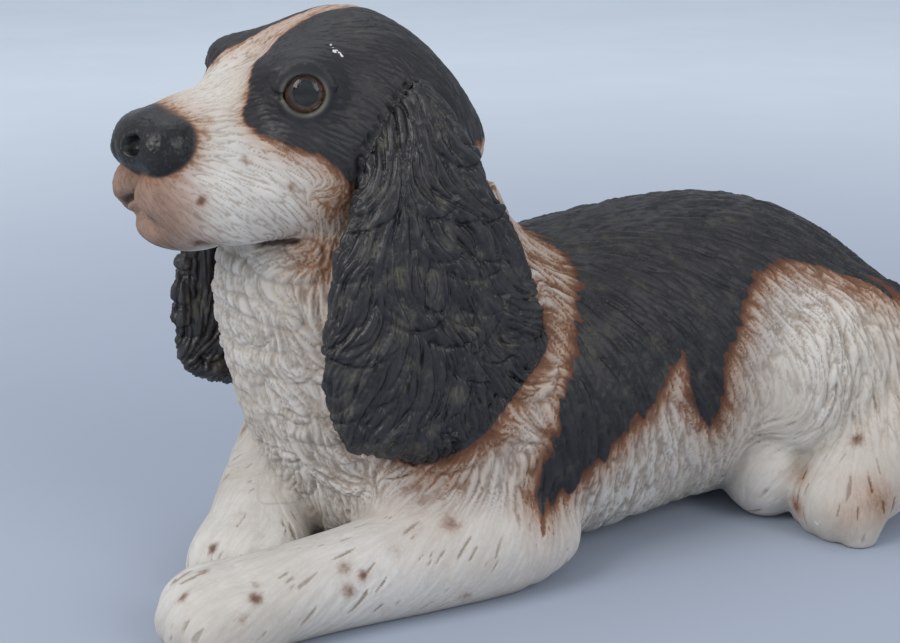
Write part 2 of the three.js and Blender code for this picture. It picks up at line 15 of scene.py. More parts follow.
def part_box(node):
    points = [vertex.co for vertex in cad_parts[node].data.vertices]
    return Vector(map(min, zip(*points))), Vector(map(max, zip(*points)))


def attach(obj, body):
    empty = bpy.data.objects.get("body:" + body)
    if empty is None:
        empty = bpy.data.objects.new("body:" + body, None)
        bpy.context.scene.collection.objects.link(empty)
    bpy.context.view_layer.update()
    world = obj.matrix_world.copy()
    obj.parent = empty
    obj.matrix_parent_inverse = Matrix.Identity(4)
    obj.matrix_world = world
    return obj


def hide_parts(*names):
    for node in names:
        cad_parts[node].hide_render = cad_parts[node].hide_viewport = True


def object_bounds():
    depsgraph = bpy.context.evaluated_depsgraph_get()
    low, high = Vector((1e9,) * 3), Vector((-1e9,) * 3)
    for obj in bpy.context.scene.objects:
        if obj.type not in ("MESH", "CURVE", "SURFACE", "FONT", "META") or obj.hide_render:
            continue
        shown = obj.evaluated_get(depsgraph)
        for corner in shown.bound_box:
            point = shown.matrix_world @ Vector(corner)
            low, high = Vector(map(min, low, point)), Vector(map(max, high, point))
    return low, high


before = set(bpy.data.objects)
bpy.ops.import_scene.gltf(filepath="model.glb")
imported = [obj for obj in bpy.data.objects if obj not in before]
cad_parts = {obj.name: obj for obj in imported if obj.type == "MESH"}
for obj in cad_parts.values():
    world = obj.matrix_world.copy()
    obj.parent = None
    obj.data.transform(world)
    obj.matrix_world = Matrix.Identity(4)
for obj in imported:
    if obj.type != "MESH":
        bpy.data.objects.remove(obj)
cad_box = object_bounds()
rng = np.random.default_rng(11)

# The modelling frame is in millimetres: the dog looks along -Y, its withers are over the origin, and the
# box of its head starts at HEAD_CORNER.
HEAD_CORNER = (-44.0, -130.9)
head_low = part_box("head_casting")[0]
SHIFT = np.array([head_low[0] * 1000 - HEAD_CORNER[0], head_low[1] * 1000 - HEAD_CORNER[1], 0.0])
HEAD_AXIS = -34.0
TURN = math.radians(3)
COS, SIN = math.cos(TURN), math.sin(TURN)


# ---- fields of distance

def unit(x):
    """x kept between 0 and 1."""
    return np.clip(x, 0, 1)


def head_frame(p):
    """Coordinates that turn with the head."""
    x, y = p[0], p[1] - HEAD_AXIS
    return [COS * x + SIN * y, HEAD_AXIS - SIN * x + COS * y, p[2]]


def from_head(v):
    """A point of the head's frame in the modelling frame."""
    x, y = v[0], v[1] - HEAD_AXIS
    return np.array([COS * x - SIN * y, HEAD_AXIS + SIN * x + COS * y, v[2]])


def blend(a, b, k):
    """Smooth union of two distances over a width k."""
    h = unit(0.5 + 0.5 * (b - a) / k)
    return b + (a - b) * h - k * h * (1 - h)


def carve(a, b, k):
    """Smooth cut of b out of a."""
    return -blend(-a, b, k)


def catmull(rows, count):
    """Evenly indexed points of a smooth curve through rows."""
    rows = np.asarray(rows, float)
    ends = np.vstack([2 * rows[0] - rows[1], rows, 2 * rows[-1] - rows[-2]])
    u = np.linspace(0, len(rows) - 1 - 1e-9, count)
    i = u.astype(int)
    t = (u - i)[:, None]
    a, b, c, d = (ends[i + k] for k in range(4))
    return 0.5 * (2 * b + (c - a) * t + (2 * a - 5 * b + 4 * c - d) * t ** 2
                  + (3 * b - a - 3 * c + d) * t ** 3)


def ellipsoid(p, centre, half, lean=(0, 0, 0)):
    """Distance to an ellipsoid, turned by lean, in degrees."""
    q = [p[k] - centre[k] for k in range(3)]
    if any(lean):
        rx, ry, rz = (Matrix.Rotation(math.radians(angle), 3, axis) for angle, axis in zip(lean, "XYZ"))
        m = np.array(rz @ ry @ rx)
        q = [m[0, k] * q[0] + m[1, k] * q[1] + m[2, k] * q[2] for k in range(3)]
    k0 = np.sqrt(sum((q[k] / half[k]) ** 2 for k in range(3))) + 1e-6
    k1 = np.sqrt(sum((q[k] / half[k] ** 2) ** 2 for k in range(3))) + 1e-6
    return k0 * (k0 - 1) / k1


def loft(p, along, across, third, rows, power=2.15, rounded=0.16):
    """Distance to a body lofted along one axis, with ends rounded over a share of its rows.

    rows: place, low and high across, low and high on the third axis.
    """
    rows = catmull(rows, 160)
    t = np.linspace(0, 1, len(rows))
    swell = np.sqrt(np.clip(1 - (1 - np.minimum(np.minimum(t, 1 - t), rounded) / rounded) ** 2, 0.0025, 1))
    s = p[along]
    inside = np.clip(s, rows[0, 0], rows[-1, 0])
    a0, a1, b0, b1 = (np.interp(inside, rows[:, 0], rows[:, k]) for k in (1, 2, 3, 4))
    swollen = np.interp(inside, rows[:, 0], swell)
    u, v = p[across] - (a0 + a1) / 2, p[third] - (b0 + b1) / 2
    size = ((np.abs(u) * 2 / ((a1 - a0) * swollen)) ** power
            + (np.abs(v) * 2 / ((b1 - b0) * swollen)) ** power) ** (1 / power) + 1e-6
    radial = np.sqrt(u * u + v * v) * (1 - 1 / size)
    beyond = np.abs(s - inside)
    return np.where(beyond > 0, np.hypot(np.maximum(radial, 0), beyond), radial)


def off_segment(p, a, b):
    """How far along the segment from a to b each point is nearest, and its offset from there."""
    d = b - a
    t = np.clip(sum((p[k] - a[k]) * d[k] for k in range(3)) / (d @ d), 0, 1)
    return t, [p[k] - a[k] - t * d[k] for k in range(3)]


def limb(p, stations, segments=14):
    """Distance to a limb swept through stations x, y, z, half width, half height."""
    path = catmull(stations, segments + 1)
    dists = []
    for a, b in zip(path[:-1], path[1:]):
        t, q = off_segment(p, a[:3], b[:3])
        run = (b - a)[:3]
        run = run / np.linalg.norm(run)
        side = np.array([run[1], -run[0], 0]) / math.hypot(run[0], run[1])
        up = np.cross(side, run)
        wide, high = a[3] + t * (b[3] - a[3]), a[4] + t * (b[4] - a[4])
        qs, qu, qr = (sum(q[k] * axis[k] for k in range(3)) for axis in (side, up, run))
        size = np.sqrt((qs / wide) ** 2 + (qu / high) ** 2 + (qr / np.minimum(wide, high)) ** 2) + 1e-6
        dists.append(np.sqrt(qs * qs + qu * qu + qr * qr) * (1 - 1 / size))
    return reduce(np.minimum, dists)


def rod(p, points, radius):
    """Distance to a thin bent rod."""
    points = np.asarray(points, float)
    offsets = (off_segment(p, a, b)[1] for a, b in zip(points[:-1], points[1:]))
    return reduce(np.minimum, (np.sqrt(sum(c ** 2 for c in q)) - radius for q in offsets))


# ---- the masses

TRUNK = [(y, low, high, shift - half, shift + half) for y, low, high, half, shift in (
    (-68, 13, 71, 28, 0), (-41, 0, 94, 51, 0), (-4, -8, 112, 63, 0), (46, -4, 121, 64, 0),
    (93, -1, 126, 59, -1), (137, -1, 123, 59, -4), (167, -3, 112, 61, -6), (194, -5, 95, 58, -8),
    (221, -5, 74, 50, -9), (248, 2, 51, 33, -9))]
NECK = [(z, -half, half, front, back) for z, half, front, back in (
    (0, 26, -52, 30), (28, 44, -66, 34), (64, 54, -84, 42), (97, 53, -91, 40), (117, 47, -92, 30),
    (132, 43, -87, 20), (150, 38, -68, 11), (168, 33, -52, 3))]
SKULL = [(y, low, high, -half, half) for y, low, high, half in (
    (-99, 161, 185, 15), (-87, 149, 195, 27), (-74, 141, 203, 36), (-57, 137, 210, 40), (-40, 137, 212, 41),
    (-24, 139, 205, 39), (-11, 142, 193, 34), (-2, 146, 181, 28), (4, 149, 173, 22))]
MUZZLE = [(y, low, high, -half, half) for y, low, high, half in (
    (-125, 156, 175, 12), (-118, 148, 181, 17.5), (-105, 137, 186, 22.5), (-87, 131, 189, 28),
    (-68, 131, 192, 34), (-45, 136, 191, 37))]
EAR = [(54.5 + 135.5 * up, 47 + 15 * inner, 47 + 15 * outer, -78 + 84 * front, -78 + 84 * back)
       for up, front, back, inner, outer in (
           (0.00, 0.26, 0.74, -0.15, 0.75), (0.10, 0.06, 0.97, -0.2, 0.95), (0.24, -0.02, 1.03, -0.15, 1.0),
           (0.42, -0.02, 0.99, -0.2, 0.98), (0.58, 0.05, 0.90, -0.35, 0.88), (0.72, 0.16, 0.795, -0.6, 0.64),
           (0.86, 0.28, 0.70, -0.95, 0.34), (1.00, 0.40, 0.62, -1.15, 0.0))]
LEFT_FORELEG = [
    (54, 12, 17, 14, 13), (53, -5, 18, 19, 20), (51, -40, 17, 20, 20), (50, -76, 15, 18.5, 17.5),
    (49, -107, 13, 20, 16), (49, -120, 12, 18, 13)]
RIGHT_FORELEG = [
    (-55, -17, 70, 17, 18), (-43, -39, 52, 21, 22), (-23, -62, 31, 21, 21), (-1, -82, 17, 20, 17),
    (11, -92, 13, 18, 13)]
RIGHT_ELBOW = [(-53, 34, 22, 15, 16), (-56, 7, 23, 20, 22), (-43, -27, 23, 21, 23), (-25, -53, 18, 19, 18)]
LEFT_HIND = [
    (59, 221, 46, 16, 20), (66, 197, 49, 21, 25), (71.5, 169, 36, 22, 24), (73, 147, 21, 20.5, 20.5),
    (72, 134, 14, 19, 14.5)]
RIGHT_HIND = [(8, 135, 21, 18, 23), (26, 131, 23, 19.5, 26), (38, 127, 21, 19.5, 24),
    (44, 124, 18, 17.5, 20)]
TAIL = [
    (-6, 222, 53, 13, 13), (-4, 245, 43, 13, 13), (4, 266, 22, 13, 13), (22, 275, 13, 12, 11),
    (42, 271, 10, 9, 9)]
TOES = {"left_foreleg": (49, -103, -2, 42, 34, 24), "right_foreleg": (0, -82, 48, 40, 34, 23),
        "left_hind_leg": (72.5, 144, 4, 40, 18, 23)}
MOUTH = [
    (0, -126, 152), (5, -125.5, 151), (10, -123.4, 148.4), (14.5, -120.5, 144.8), (19.5, -116, 140.8),
    (23.5, -109, 137.4), (27, -100, 134.8), (29.2, -88, 133.2), (29.5, -77, 135.5)]


def eye_axis(side):
    """The way an eye looks."""
    turn, lift = math.radians(57), math.radians(4)
    flat = math.cos(lift)
    return np.array([side * math.sin(turn) * flat, -math.cos(turn) * flat, math.sin(lift)])


def eye_centre(side):
    return np.array([33.5 * side, -75.9, 188.2])


def eye_local(h, side):
    """Coordinates at an eye: towards its outer corner, up, and out of the socket."""
    centre, out = eye_centre(side), eye_axis(side)
    back = np.array([-out[1], out[0], 0]) * side / math.hypot(out[0], out[1])
    up = np.cross(back, out) * side
    up = up if up[2] > 0 else -up
    q = [h[k] - centre[k] for k in range(3)]
    return [sum(q[k] * axis[k] for k in range(3)) for axis in (back, up, out)]


def toes(p, x, y, turn, width, length, height):
    """Distance to four toes side by side."""
    c, s = math.cos(math.radians(turn)), math.sin(math.radians(turn))
    q = [c * (p[0] - x) + s * (p[1] - y), -s * (p[0] - x) + c * (p[1] - y), p[2]]
    half = (0.185 * width, 0.5 * length, 0.6 * height)
    dists = (ellipsoid(q, (share * width, -(0.42 + reach) * length, 0.4 * height), half)
             for share, reach in ((-0.35, 0.0), (-0.125, 0.12), (0.125, 0.12), (0.35, 0.0)))
    return reduce(lambda a, b: blend(a, b, 2.0), dists)


def trunk_field(p):
    return blend(loft(p, 1, 2, 0, TRUNK, 2.15, 0.16), loft(p, 2, 0, 1, NECK, 2.1, 0.1), 16)


def nose_pad(h):
    nose = ellipsoid(h, (0, -113, 169.8), (18.5, 19, 11.6))
    nose = blend(nose, ellipsoid(h, (0, -110, 173.6), (17.5, 18, 8.2)), 4)
    for side in (1, -1):
        nose = blend(nose, ellipsoid(h, (12.5 * side, -117, 168.8), (8.2, 10, 10.3)), 3)
        nose = carve(nose, ellipsoid(h, (8.6 * side, -129.5, 171.8), (3.6, 6, 3.4), (0, 18 * side, 0)), 1.4)
    nose = carve(nose, rod(h, [(0, -132.6, 171), (0, -131.5, 164), (0, -128.5, 157)], 0.9), 2.0)
    return nose


def mouth_line(h, width):
    """1 in the parting of the lips, seen from the front near the nose and from the side behind it."""
    from_front = rod([np.abs(h[0]), 0 * h[1], h[2]], [(x, 0, z) for x, _, z in MOUTH[:5]], 0)
    from_side = rod([0 * h[0], h[1], h[2]], [(0, y, z) for _, y, z in MOUTH[4:]], 0)
    ahead = unit((-110 - h[1]) / 6)
    front, beside = (np.exp(-(d / width) ** 2) for d in (from_front, from_side))
    return np.maximum(front * ahead, beside * (1 - ahead) * unit((np.abs(h[0]) - 12) / 4))


def head_field(p):
    h = head_frame(p)
    d = blend(loft(h, 1, 2, 0, SKULL, 2.15, 0.1), loft(h, 1, 2, 0, MUZZLE, 2.35, 0.2), 9)
    for side in (1, -1):
        d = blend(d, ellipsoid(h, (23 * side, -50, 157), (16, 34, 24)), 12)
        d = blend(d, ellipsoid(h, (19 * side, -71, 193), (13, 17, 8.5), (0, -12 * side, 12 * side)), 8)
        d = blend(d, ellipsoid(h, (12 * side, -108.5, 155), (13.5, 20.5, 13), (8, 0, -8 * side)), 5)
        d = blend(d, ellipsoid(h, (19 * side, -97, 148), (10.5, 25, 13.5), (3, 0, 0)), 6)
    d = blend(d, ellipsoid(h, (0, -106, 140.5), (19.5, 18, 9)), 2.5)
    d = carve(d, ellipsoid(h, (0, -91, 202), (10, 16, 8)), 8)
    for side in (1, -1):
        e = eye_local(h, side)
        d = carve(d, ellipsoid(e, (-15, -3, 2), (7, 9, 5)), 7)
        d = blend(d, ellipsoid(e, (0, 0, -5.5), (13, 11.5, 7)), 5)
        ring = np.sqrt((np.sqrt((e[0] * 0.93) ** 2 + e[1] ** 2) - 7.5) ** 2 + (e[2] - 0.2) ** 2) - 1.0
        d = blend(d, ring, 2.2)
        turned_up = np.clip(2.5 - e[1], 0, 20) * 0.8
        lid = np.sqrt((np.sqrt(e[0] ** 2 + e[1] ** 2) - 9.8) ** 2 + (e[2] - 0.1) ** 2) - 1.4 + turned_up
        d = blend(d, lid, 1.8)
        ball = np.sqrt((e[0] * 0.95) ** 2 + e[1] ** 2 + (e[2] + 3.0) ** 2) - 7.4
        d = carve(d, ball, 0.8)
        d = carve(d, ellipsoid(e, (-9.4, -0.8, 1.6), (4.4, 1.2, 2.4)), 1.0)
        fold = [(-11, 5.5, 2.0), (-8, 9.6, 1.8), (-3, 12.2, 1.4), (3, 12.4, 0.8), (8.5, 9.4, 0.2),
                (11.5, 5, 0)]
        d = carve(d, rod(e, fold, 0.7), 1.4)
    d = blend(d, nose_pad(h), 1.3)
    for side in (1, -1):
        d = carve(d, ellipsoid(h, (29 * side, -86, 133.2), (4.5, 11, 2.2)), 1.5)
    d = carve(d, rod(h, [(0, -131, 160), (0, -129.5, 151)], 1.2), 4.0)
    return d + 2.6 * mouth_line(h, 1.5)


def ear_field(p, side):
    """Distance to an ear. The right one swings forward as it hangs."""
    h = head_frame(p)
    forward = -16 * unit((190 - h[2]) / 134) if side < 0 else 0
    return loft([h[0] * side, h[1] - forward, h[2]], 2, 0, 1, EAR, 2.3, 0.16)


def left_foreleg_field(p):
    d = blend(limb(p, LEFT_FORELEG), toes(p, *TOES["left_foreleg"]), 7)
    return blend(d, ellipsoid(p, (39, -20, 35), (18, 32, 37)), 10)


def right_foreleg_field(p):
    d = blend(limb(p, RIGHT_FORELEG), limb(p, RIGHT_ELBOW), 8)
    return blend(d, toes(p, *TOES["right_foreleg"]), 7)


def left_hind_field(p):
    d = blend(limb(p, LEFT_HIND), toes(p, *TOES["left_hind_leg"]), 6)
    return blend(d, ellipsoid(p, (38, 160, 53), (37, 54, 42)), 5)


# Each mass: its field, how widely it flows into those before it, and the low and high corners of its box.
GROUPS = {
    "trunk_casting": (trunk_field, 0.1, (-76, -100, -4), (72, 258, 140)),
    "head_casting": (head_field, 9, (-62, -140, 116), (62, 30, 216)),
    "left_ear": (lambda p: ear_field(p, 1), 1.6, (26, -92, 48), (76, 22, 196)),
    "right_ear": (lambda p: ear_field(p, -1), 1.6, (-76, -106, 48), (-22, 22, 196)),
    "left_foreleg": (left_foreleg_field, 9, (14, -148, -4), (80, 32, 80)),
    "right_foreleg": (right_foreleg_field, 7, (-82, -120, -4), (40, 56, 96)),
    "left_hind_leg": (left_hind_field, 8, (-6, 102, -4), (100, 250, 102)),
    "right_hind_paw": (lambda p: limb(p, RIGHT_HIND), 3, (-14, 100, -4), (78, 166, 56)),
    "tail": (lambda p: limb(p, TAIL), 6, (-24, 204, -4), (58, 294, 72)),
}
MARGIN = 14.0
FAR = 60.0


def sample(low, high, step, owner=None):
    """The figure's distance on a grid, and how far the owner is from owning each point."""
    axes = [np.arange(low[k], high[k] + step, step) for k in range(3)]
    shape = tuple(len(a) for a in axes)
    whole, own, others = (np.full(shape, FAR, np.float32) for _ in range(3))
    for name, (field, flow_in, box_low, box_high) in GROUPS.items():
        at = tuple(slice(max(np.searchsorted(axes[k], box_low[k] - MARGIN), 0),
                         np.searchsorted(axes[k], box_high[k] + MARGIN)) for k in range(3))
        if any(s.stop - s.start < 2 for s in at):
            continue
        p = np.meshgrid(*(axes[k][at[k]] for k in range(3)), indexing="ij", sparse=True)
        d = np.broadcast_to(field(p), whole[at].shape).astype(np.float32)
        whole[at] = blend(whole[at], d, flow_in)
        if name == owner:
            own[at] = d
        else:
            others[at] = np.minimum(others[at], d)
    ground = -axes[2][None, None, :].astype(np.float32)
    return axes, np.maximum(whole, ground), own - others


def eight_corners(flat, i, f, ny, nz):
    """Rows of a flattened grid mixed around the cells i, at the fractions f across them."""
    base = (i[0] * ny + i[1]) * nz + i[2]
    out = 0
    for corner in range(8):
        x, y, z = corner & 1, corner >> 1 & 1, corner >> 2
        w = 1
        for bit, part in zip((x, y, z), f):
            w = w * (part if bit else 1 - part)
        out = out + np.take(flat, base + (x * ny + y) * nz + z, axis=0) * w[:, None]
    return out


def trilinear(grid, axes, v):
    """Values of a grid at points v."""
    nx, ny, nz = grid.shape[:3]
    step = axes[0][1] - axes[0][0]
    cells, fractions = [], []
    for k, count in enumerate((nx, ny, nz)):
        u = np.clip((v[:, k] - axes[k][0]) / step, 0, count - 1.001).astype(np.float32)
        cells.append(u.astype(np.int32))
        fractions.append(u - cells[k])
    out = eight_corners(grid.reshape(nx * ny * nz, -1), cells, fractions, ny, nz)
    return out if grid.ndim == 4 else out[:, 0]


# ---- the comb: which way the hair runs

COARSE = 4.0
flow_axes, coarse, _ = sample((-84, -152, -8), (112, 296, 220), COARSE)
slope = np.stack(np.gradient(coarse, COARSE), axis=-1)
slope /= np.linalg.norm(slope, axis=-1, keepdims=True) + 1e-6


def settle(v, inward):
    """Points moved along inward until they lie on the figure."""
    v = np.array(v, float)
    inward = np.asarray(inward, float)
    free = np.ones(len(v), bool)
    for _ in range(160):
        d = trilinear(coarse, flow_axes, v)
        free &= d > 0.4
        v[free] += inward * np.clip(d[free], 0.4, 3)[:, None]
    return v


# Each comb: a point on the figure and the way the hair runs there. Mirrored combs hold for both sides.
COMBS_MIRRORED = [
    (0, -112, 187, 0, 1, 0.1), (14, -105, 184, 0.1, 1, 0.05), (22, -108, 168, 0.3, 1, -0.35),
    (26, -105, 155, 0.1, 1, -0.8), (20, -122, 154, 0.6, 0.9, -1.2), (24, -112, 144, 0.1, 0.9, -1.1),
    (29, -92, 165, 0.1, 1, -0.25), (32, -78, 158, 0.1, 1, -0.45), (30, -88, 144, 0, 1, -0.7),
    (24, -92, 186, 0.2, 1, 0.35), (8, -88, 192, 0.05, 1, 0.5), (10, -70, 203, 0.1, 1, 0.3),
    (12, -48, 211, 0.1, 1, 0), (10, -24, 205, 0, 1, -0.6), (8, -6, 190, 0, 0.6, -1),
    (6, 8, 165, 0, 0.4, -1), (30, -62, 200, 0.5, 1, -0.2), (38, -50, 192, 0.2, 1, -0.35),
    (36, -30, 190, 0.1, 0.8, -0.8), (40, -62, 182, 0.1, 1, -0.1), (41, -60, 168, 0, 1, -0.35),
    (40, -52, 158, 0, 0.7, -0.8), (36, -58, 142, -0.2, 0.2, -1), (43, -57, 165, 0, 0.6, -0.9),
    (43, -60, 152, 0, 0.2, -1), (41, -64, 141, -0.1, -0.1, -1), (38, -73, 152, 0, 0.8, -0.8),
    (30, -64, 132, -0.4, -0.3, -1), (10, -86, 124, 0, -0.1, -1), (24, -82, 110, -0.1, 0, -1),
    (8, -92, 90, 0, 0, -1), (30, -80, 80, -0.2, -0.1, -1), (8, -84, 60, 0, 0.2, -1),
    (34, -70, 45, 0.2, -0.3, -1), (10, -64, 28, 0, 0.2, -1), (30, 12, 150, 0.3, 0.4, -1),
    (44, 6, 130, 0.4, 0.45, -1), (20, 22, 132, 0.3, 0.7, -1), (10, 34, 122, 0.3, 1, -0.2),
    (52, 14, 108, 0.2, 0.5, -1), (62, 14, 84, 0.05, 0.4, -1), (64, 6, 60, 0, 0.15, -1),
    (64, -4, 42, 0, 0, -1), (12, 70, 124, 0.25, 1, -0.05), (34, 64, 116, 0.5, 1, -0.5),
    (54, 50, 96, 0.3, 0.8, -0.7), (62, 44, 72, 0.05, 0.4, -1), (62, 34, 48, 0, 0, -1),
    (58, 40, 26, -0.2, 0.1, -1), (10, 110, 127, 0.2, 1, 0), (36, 104, 116, 0.5, 1, -0.45),
    (54, 92, 96, 0.3, 0.9, -0.7), (60, 90, 70, 0, 0.65, -1), (58, 84, 46, -0.05, 0.5, -1),
    (50, 90, 20, -0.4, 0.3, -1), (10, 150, 120, 0.2, 1, -0.25), (34, 144, 112, 0.5, 1, -0.6),
    (52, 126, 94, 0.3, 0.8, -0.8), (58, 124, 66, 0, 0.4, -1), (10, 190, 98, 0.1, 0.9, -0.8),
    (10, 222, 72, 0.1, 0.6, -1), (36, 190, 84, 0.3, 0.6, -0.9), (60, 160, 76, 0.1, 0.25, -1),
    (66, 140, 60, 0, -0.1, -1), (70, 170, 60, 0.1, 0.3, -1), (56, 196, 70, 0.2, 0.5, -1),
    (40, 232, 40, 0.1, 0.4, -1), (0, 246, 44, 0, 0.4, -1)]
COMBS_LEFT = [
    (56, 0, 36, 0.2, -0.5, -1), (60, -24, 34, 0.3, -0.9, -0.7), (50, -40, 36, 0, -1, -0.25),
    (68, -44, 20, 0, -0.7, -0.8), (50, -74, 32, 0, -1, -0.1), (68, -80, 18, 0, -0.75, -0.75),
    (50, -110, 28, 0, -1, -0.25), (66, -116, 14, 0, -0.85, -0.6), (50, -136, 14, 0, -1, -0.8),
    (34, -80, 20, 0, -0.8, -0.6), (84, 150, 56, 0.2, -0.1, -1), (90, 160, 40, 0, 0.2, -1),
    (88, 145, 24, 0.1, 0.25, -1), (68, 124, 16, 0, -0.6, -1), (80, 190, 60, 0.2, 0.1, -1),
    (58, 122, 40, 0.2, -1, -0.1), (62, 128, 24, 0.1, -1, -0.15), (56, 140, 20, 0, -1, -0.2),
    (-40, -70, 60, 0.3, -0.5, -1), (-24, -80, 42, 0.5, -0.7, -0.8), (-6, -98, 26, 0.6, -0.8, -0.5),
    (10, -108, 14, 0.6, -0.8, -0.5), (-66, -10, 30, 0.1, -0.7, -0.7), (-56, -44, 30, 0.4, -0.8, -0.5),
    (-4, 250, 46, 0, 1, -0.5), (10, 272, 20, 0.8, 0.5, -0.4), (40, 272, 10, 1, -0.2, 0)]


def ear_combs():
    """Combs that fan down the ears."""
    combs = []
    for z in (180, 164, 146, 126, 106, 86, 66):
        for share in (-1, -0.5, 0, 0.5, 1):
            fan = 0.75 if z > 110 else 0.35
            combs.append((60, -36 + share * ((190 - z) * 0.3), z, 0, share * fan, -1))
    return combs


combs = []
for x, y, z, *way in COMBS_MIRRORED + ear_combs():
    combs += [(x, y, z, *way), (-x, y, z, -way[0], *way[1:])]
combs += COMBS_LEFT
LOCK_POINTS = 8
OUTSIDE = 110       # how far off the middle a lock starts before it is settled


def stroke(start, angle, length, bow, plane, inward):
    """A lock's path on the figure: drawn in a plane from a start, at an angle, and bowed, then settled."""
    points, heading, at = [], math.radians(angle), np.array(start, float)
    for _ in range(LOCK_POINTS):
        points.append(at.copy())
        at = at + length / (LOCK_POINTS - 1) * np.array([math.sin(heading), -math.cos(heading)])
        heading += math.radians(bow) / (LOCK_POINTS - 1)
    flat = np.zeros((LOCK_POINTS, 3))
    flat[:, plane[0]], flat[:, plane[1]] = np.array(points).T
    flat -= np.asarray(inward) * OUTSIDE
    return settle(flat, inward)


locks = []      # each: path, half width, height


def rows_of_locks(rows, plane, inward, half, height, length, bow, spread):
    """Overlapping rows of locks. rows: height of the roots, low and high place across, fan in degrees."""
    for z, low, high, fan in rows:
        count = max(2, round((high - low) / (half * 1.7)))
        for i in range(count):
            share = (i + 0.5 + rng.uniform(-0.2, 0.2)) / count
            side = 2 * share - 1
            turn = fan * side + rng.uniform(-spread, spread)
            curl = bow * (1 if rng.random() < 0.5 + 0.4 * side else -1) * rng.uniform(0.5, 1.2)
            start = (low + share * (high - low), z + rng.uniform(-4, 4))
            path = stroke(start, turn, length * rng.uniform(0.75, 1.25), curl, plane, inward)
            locks.append((path, half * rng.uniform(0.8, 1.2), height * rng.uniform(0.7, 1.2)))


EAR_ROWS = [
    (176, -46, -28, 14), (160, -56, -22, 26), (146, -64, -18, 34), (132, -70, -14, 36), (118, -75, -10, 34),
    (104, -77, -5, 28), (90, -77, -2, 18), (77, -74, -4, 8)]
RIGHT_EAR_ROWS = [(z, low - (190 - z) * 0.1, high - (190 - z) * 0.1, fan) for z, low, high, fan in EAR_ROWS]
BREAST_ROWS = [
    (122, -24, 24, 14), (110, -32, 32, 24), (98, -36, 36, 30), (86, -38, 38, 30), (74, -38, 38, 26),
    (62, -34, 34, 20), (50, -28, 30, 14)]
HAUNCH_ROWS = [(88, 136, 190, 6), (70, 128, 200, 8)]
FROM_LEFT, FROM_RIGHT, FROM_FRONT = (-1, 0, 0), (1, 0, 0), (0, 1, 0)
rows_of_locks(EAR_ROWS, (1, 2), FROM_LEFT, 5.4, 1.9, 33, 130, 16)
rows_of_locks(RIGHT_EAR_ROWS, (1, 2), FROM_RIGHT, 5.4, 1.9, 33, 130, 16)
rows_of_locks(BREAST_ROWS, (0, 2), FROM_FRONT, 4.6, 1.5, 20, 110, 22)
for inward in (FROM_LEFT, FROM_RIGHT):
    rows_of_locks(HAUNCH_ROWS, (1, 2), inward, 8.0, 0.9, 38, 40, 12)

gx, gy, gz = np.meshgrid(*flow_axes, indexing="ij")
SKIN_BAND = 14      # the hair's flow is known this far either side of the skin
near = np.abs(coarse) < SKIN_BAND
cells = np.stack([gx[near], gy[near], gz[near]], axis=1)
pull, weight = np.zeros_like(cells), np.zeros(len(cells))
for comb in combs:
    at, way = np.array(comb[:3]), np.array(comb[3:])
    w = 1 / (np.sum((cells - at) ** 2, axis=1) + 90) ** 1.8
    pull += w[:, None] * (way / np.linalg.norm(way))
    weight += w
pull /= weight[:, None]
for path, half, _ in locks:
    low, high = path.min(0) - 14, path.max(0) + 14
    close = np.flatnonzero(np.all((cells > low) & (cells < high), axis=1))
    for a, b in zip(path[:-1], path[1:]):
        run = (b - a) / (np.linalg.norm(b - a) + 1e-6)
        w = np.exp(-np.sum((cells[close] - (a + b) / 2) ** 2, axis=1) / (half * 0.8) ** 2)
        pull[close] += 1.6 * w[:, None] * run
n = slope[near]
pull -= n * np.sum(pull * n, axis=1, keepdims=True)
flow = np.zeros(coarse.shape + (3,), np.float32)
flow[near] = pull / (np.linalg.norm(pull, axis=1, keepdims=True) + 1e-6)

lattice = [np.pad(rng.random((32, 32, 32)).astype(np.float32), (0, 1), mode="wrap") for _ in range(4)]


def value_noise(v, seed=0):
    """Smooth noise from 0 to 1, one lump per unit."""
    i = np.floor(v).astype(np.int32)
    f = (v - i).astype(np.float32)
    f = f * f * (3 - 2 * f)
    return eight_corners(lattice[seed].reshape(-1, 1), (i & 31).T, f.T, 33, 33)[:, 0]


STEPS = 8


def raw_streaks(v, lump, seed):
    """Noise drawn out along the hair, about 0."""
    v = v.astype(np.float32)
    total = value_noise(v / lump, seed) - 0.5
    for way in (1, -1):
        at = v
        for k in range(STEPS):
            run = trilinear(flow, flow_axes, at)
            run /= np.linalg.norm(run, axis=1, keepdims=True) + 1e-3
            at = at + run * (way * 0.62 * lump)
            total = total + (1 - k / (STEPS + 2)) * (value_noise(at / lump, seed) - 0.5)
    return total


starts = cells[rng.integers(0, len(cells), 6000)] + rng.random((6000, 3)) * COARSE
SPREAD = float(raw_streaks(starts, 1.7, 0).std())


def streaks(v, lump, seed):
    """Noise drawn out along the hair: about 0, with a spread of 1."""
    return raw_streaks(v, lump, seed) / SPREAD


def strands(streak):
    """Rounded strands with sharp furrows between them, about -1 to 0.6."""
    return np.minimum(np.abs(streak) * 1.15, 1.6) ** 0.75 - 1


def furrows(streak, width):
    """1 in the furrows between strands."""
    return np.exp(-(streak / width) ** 2)


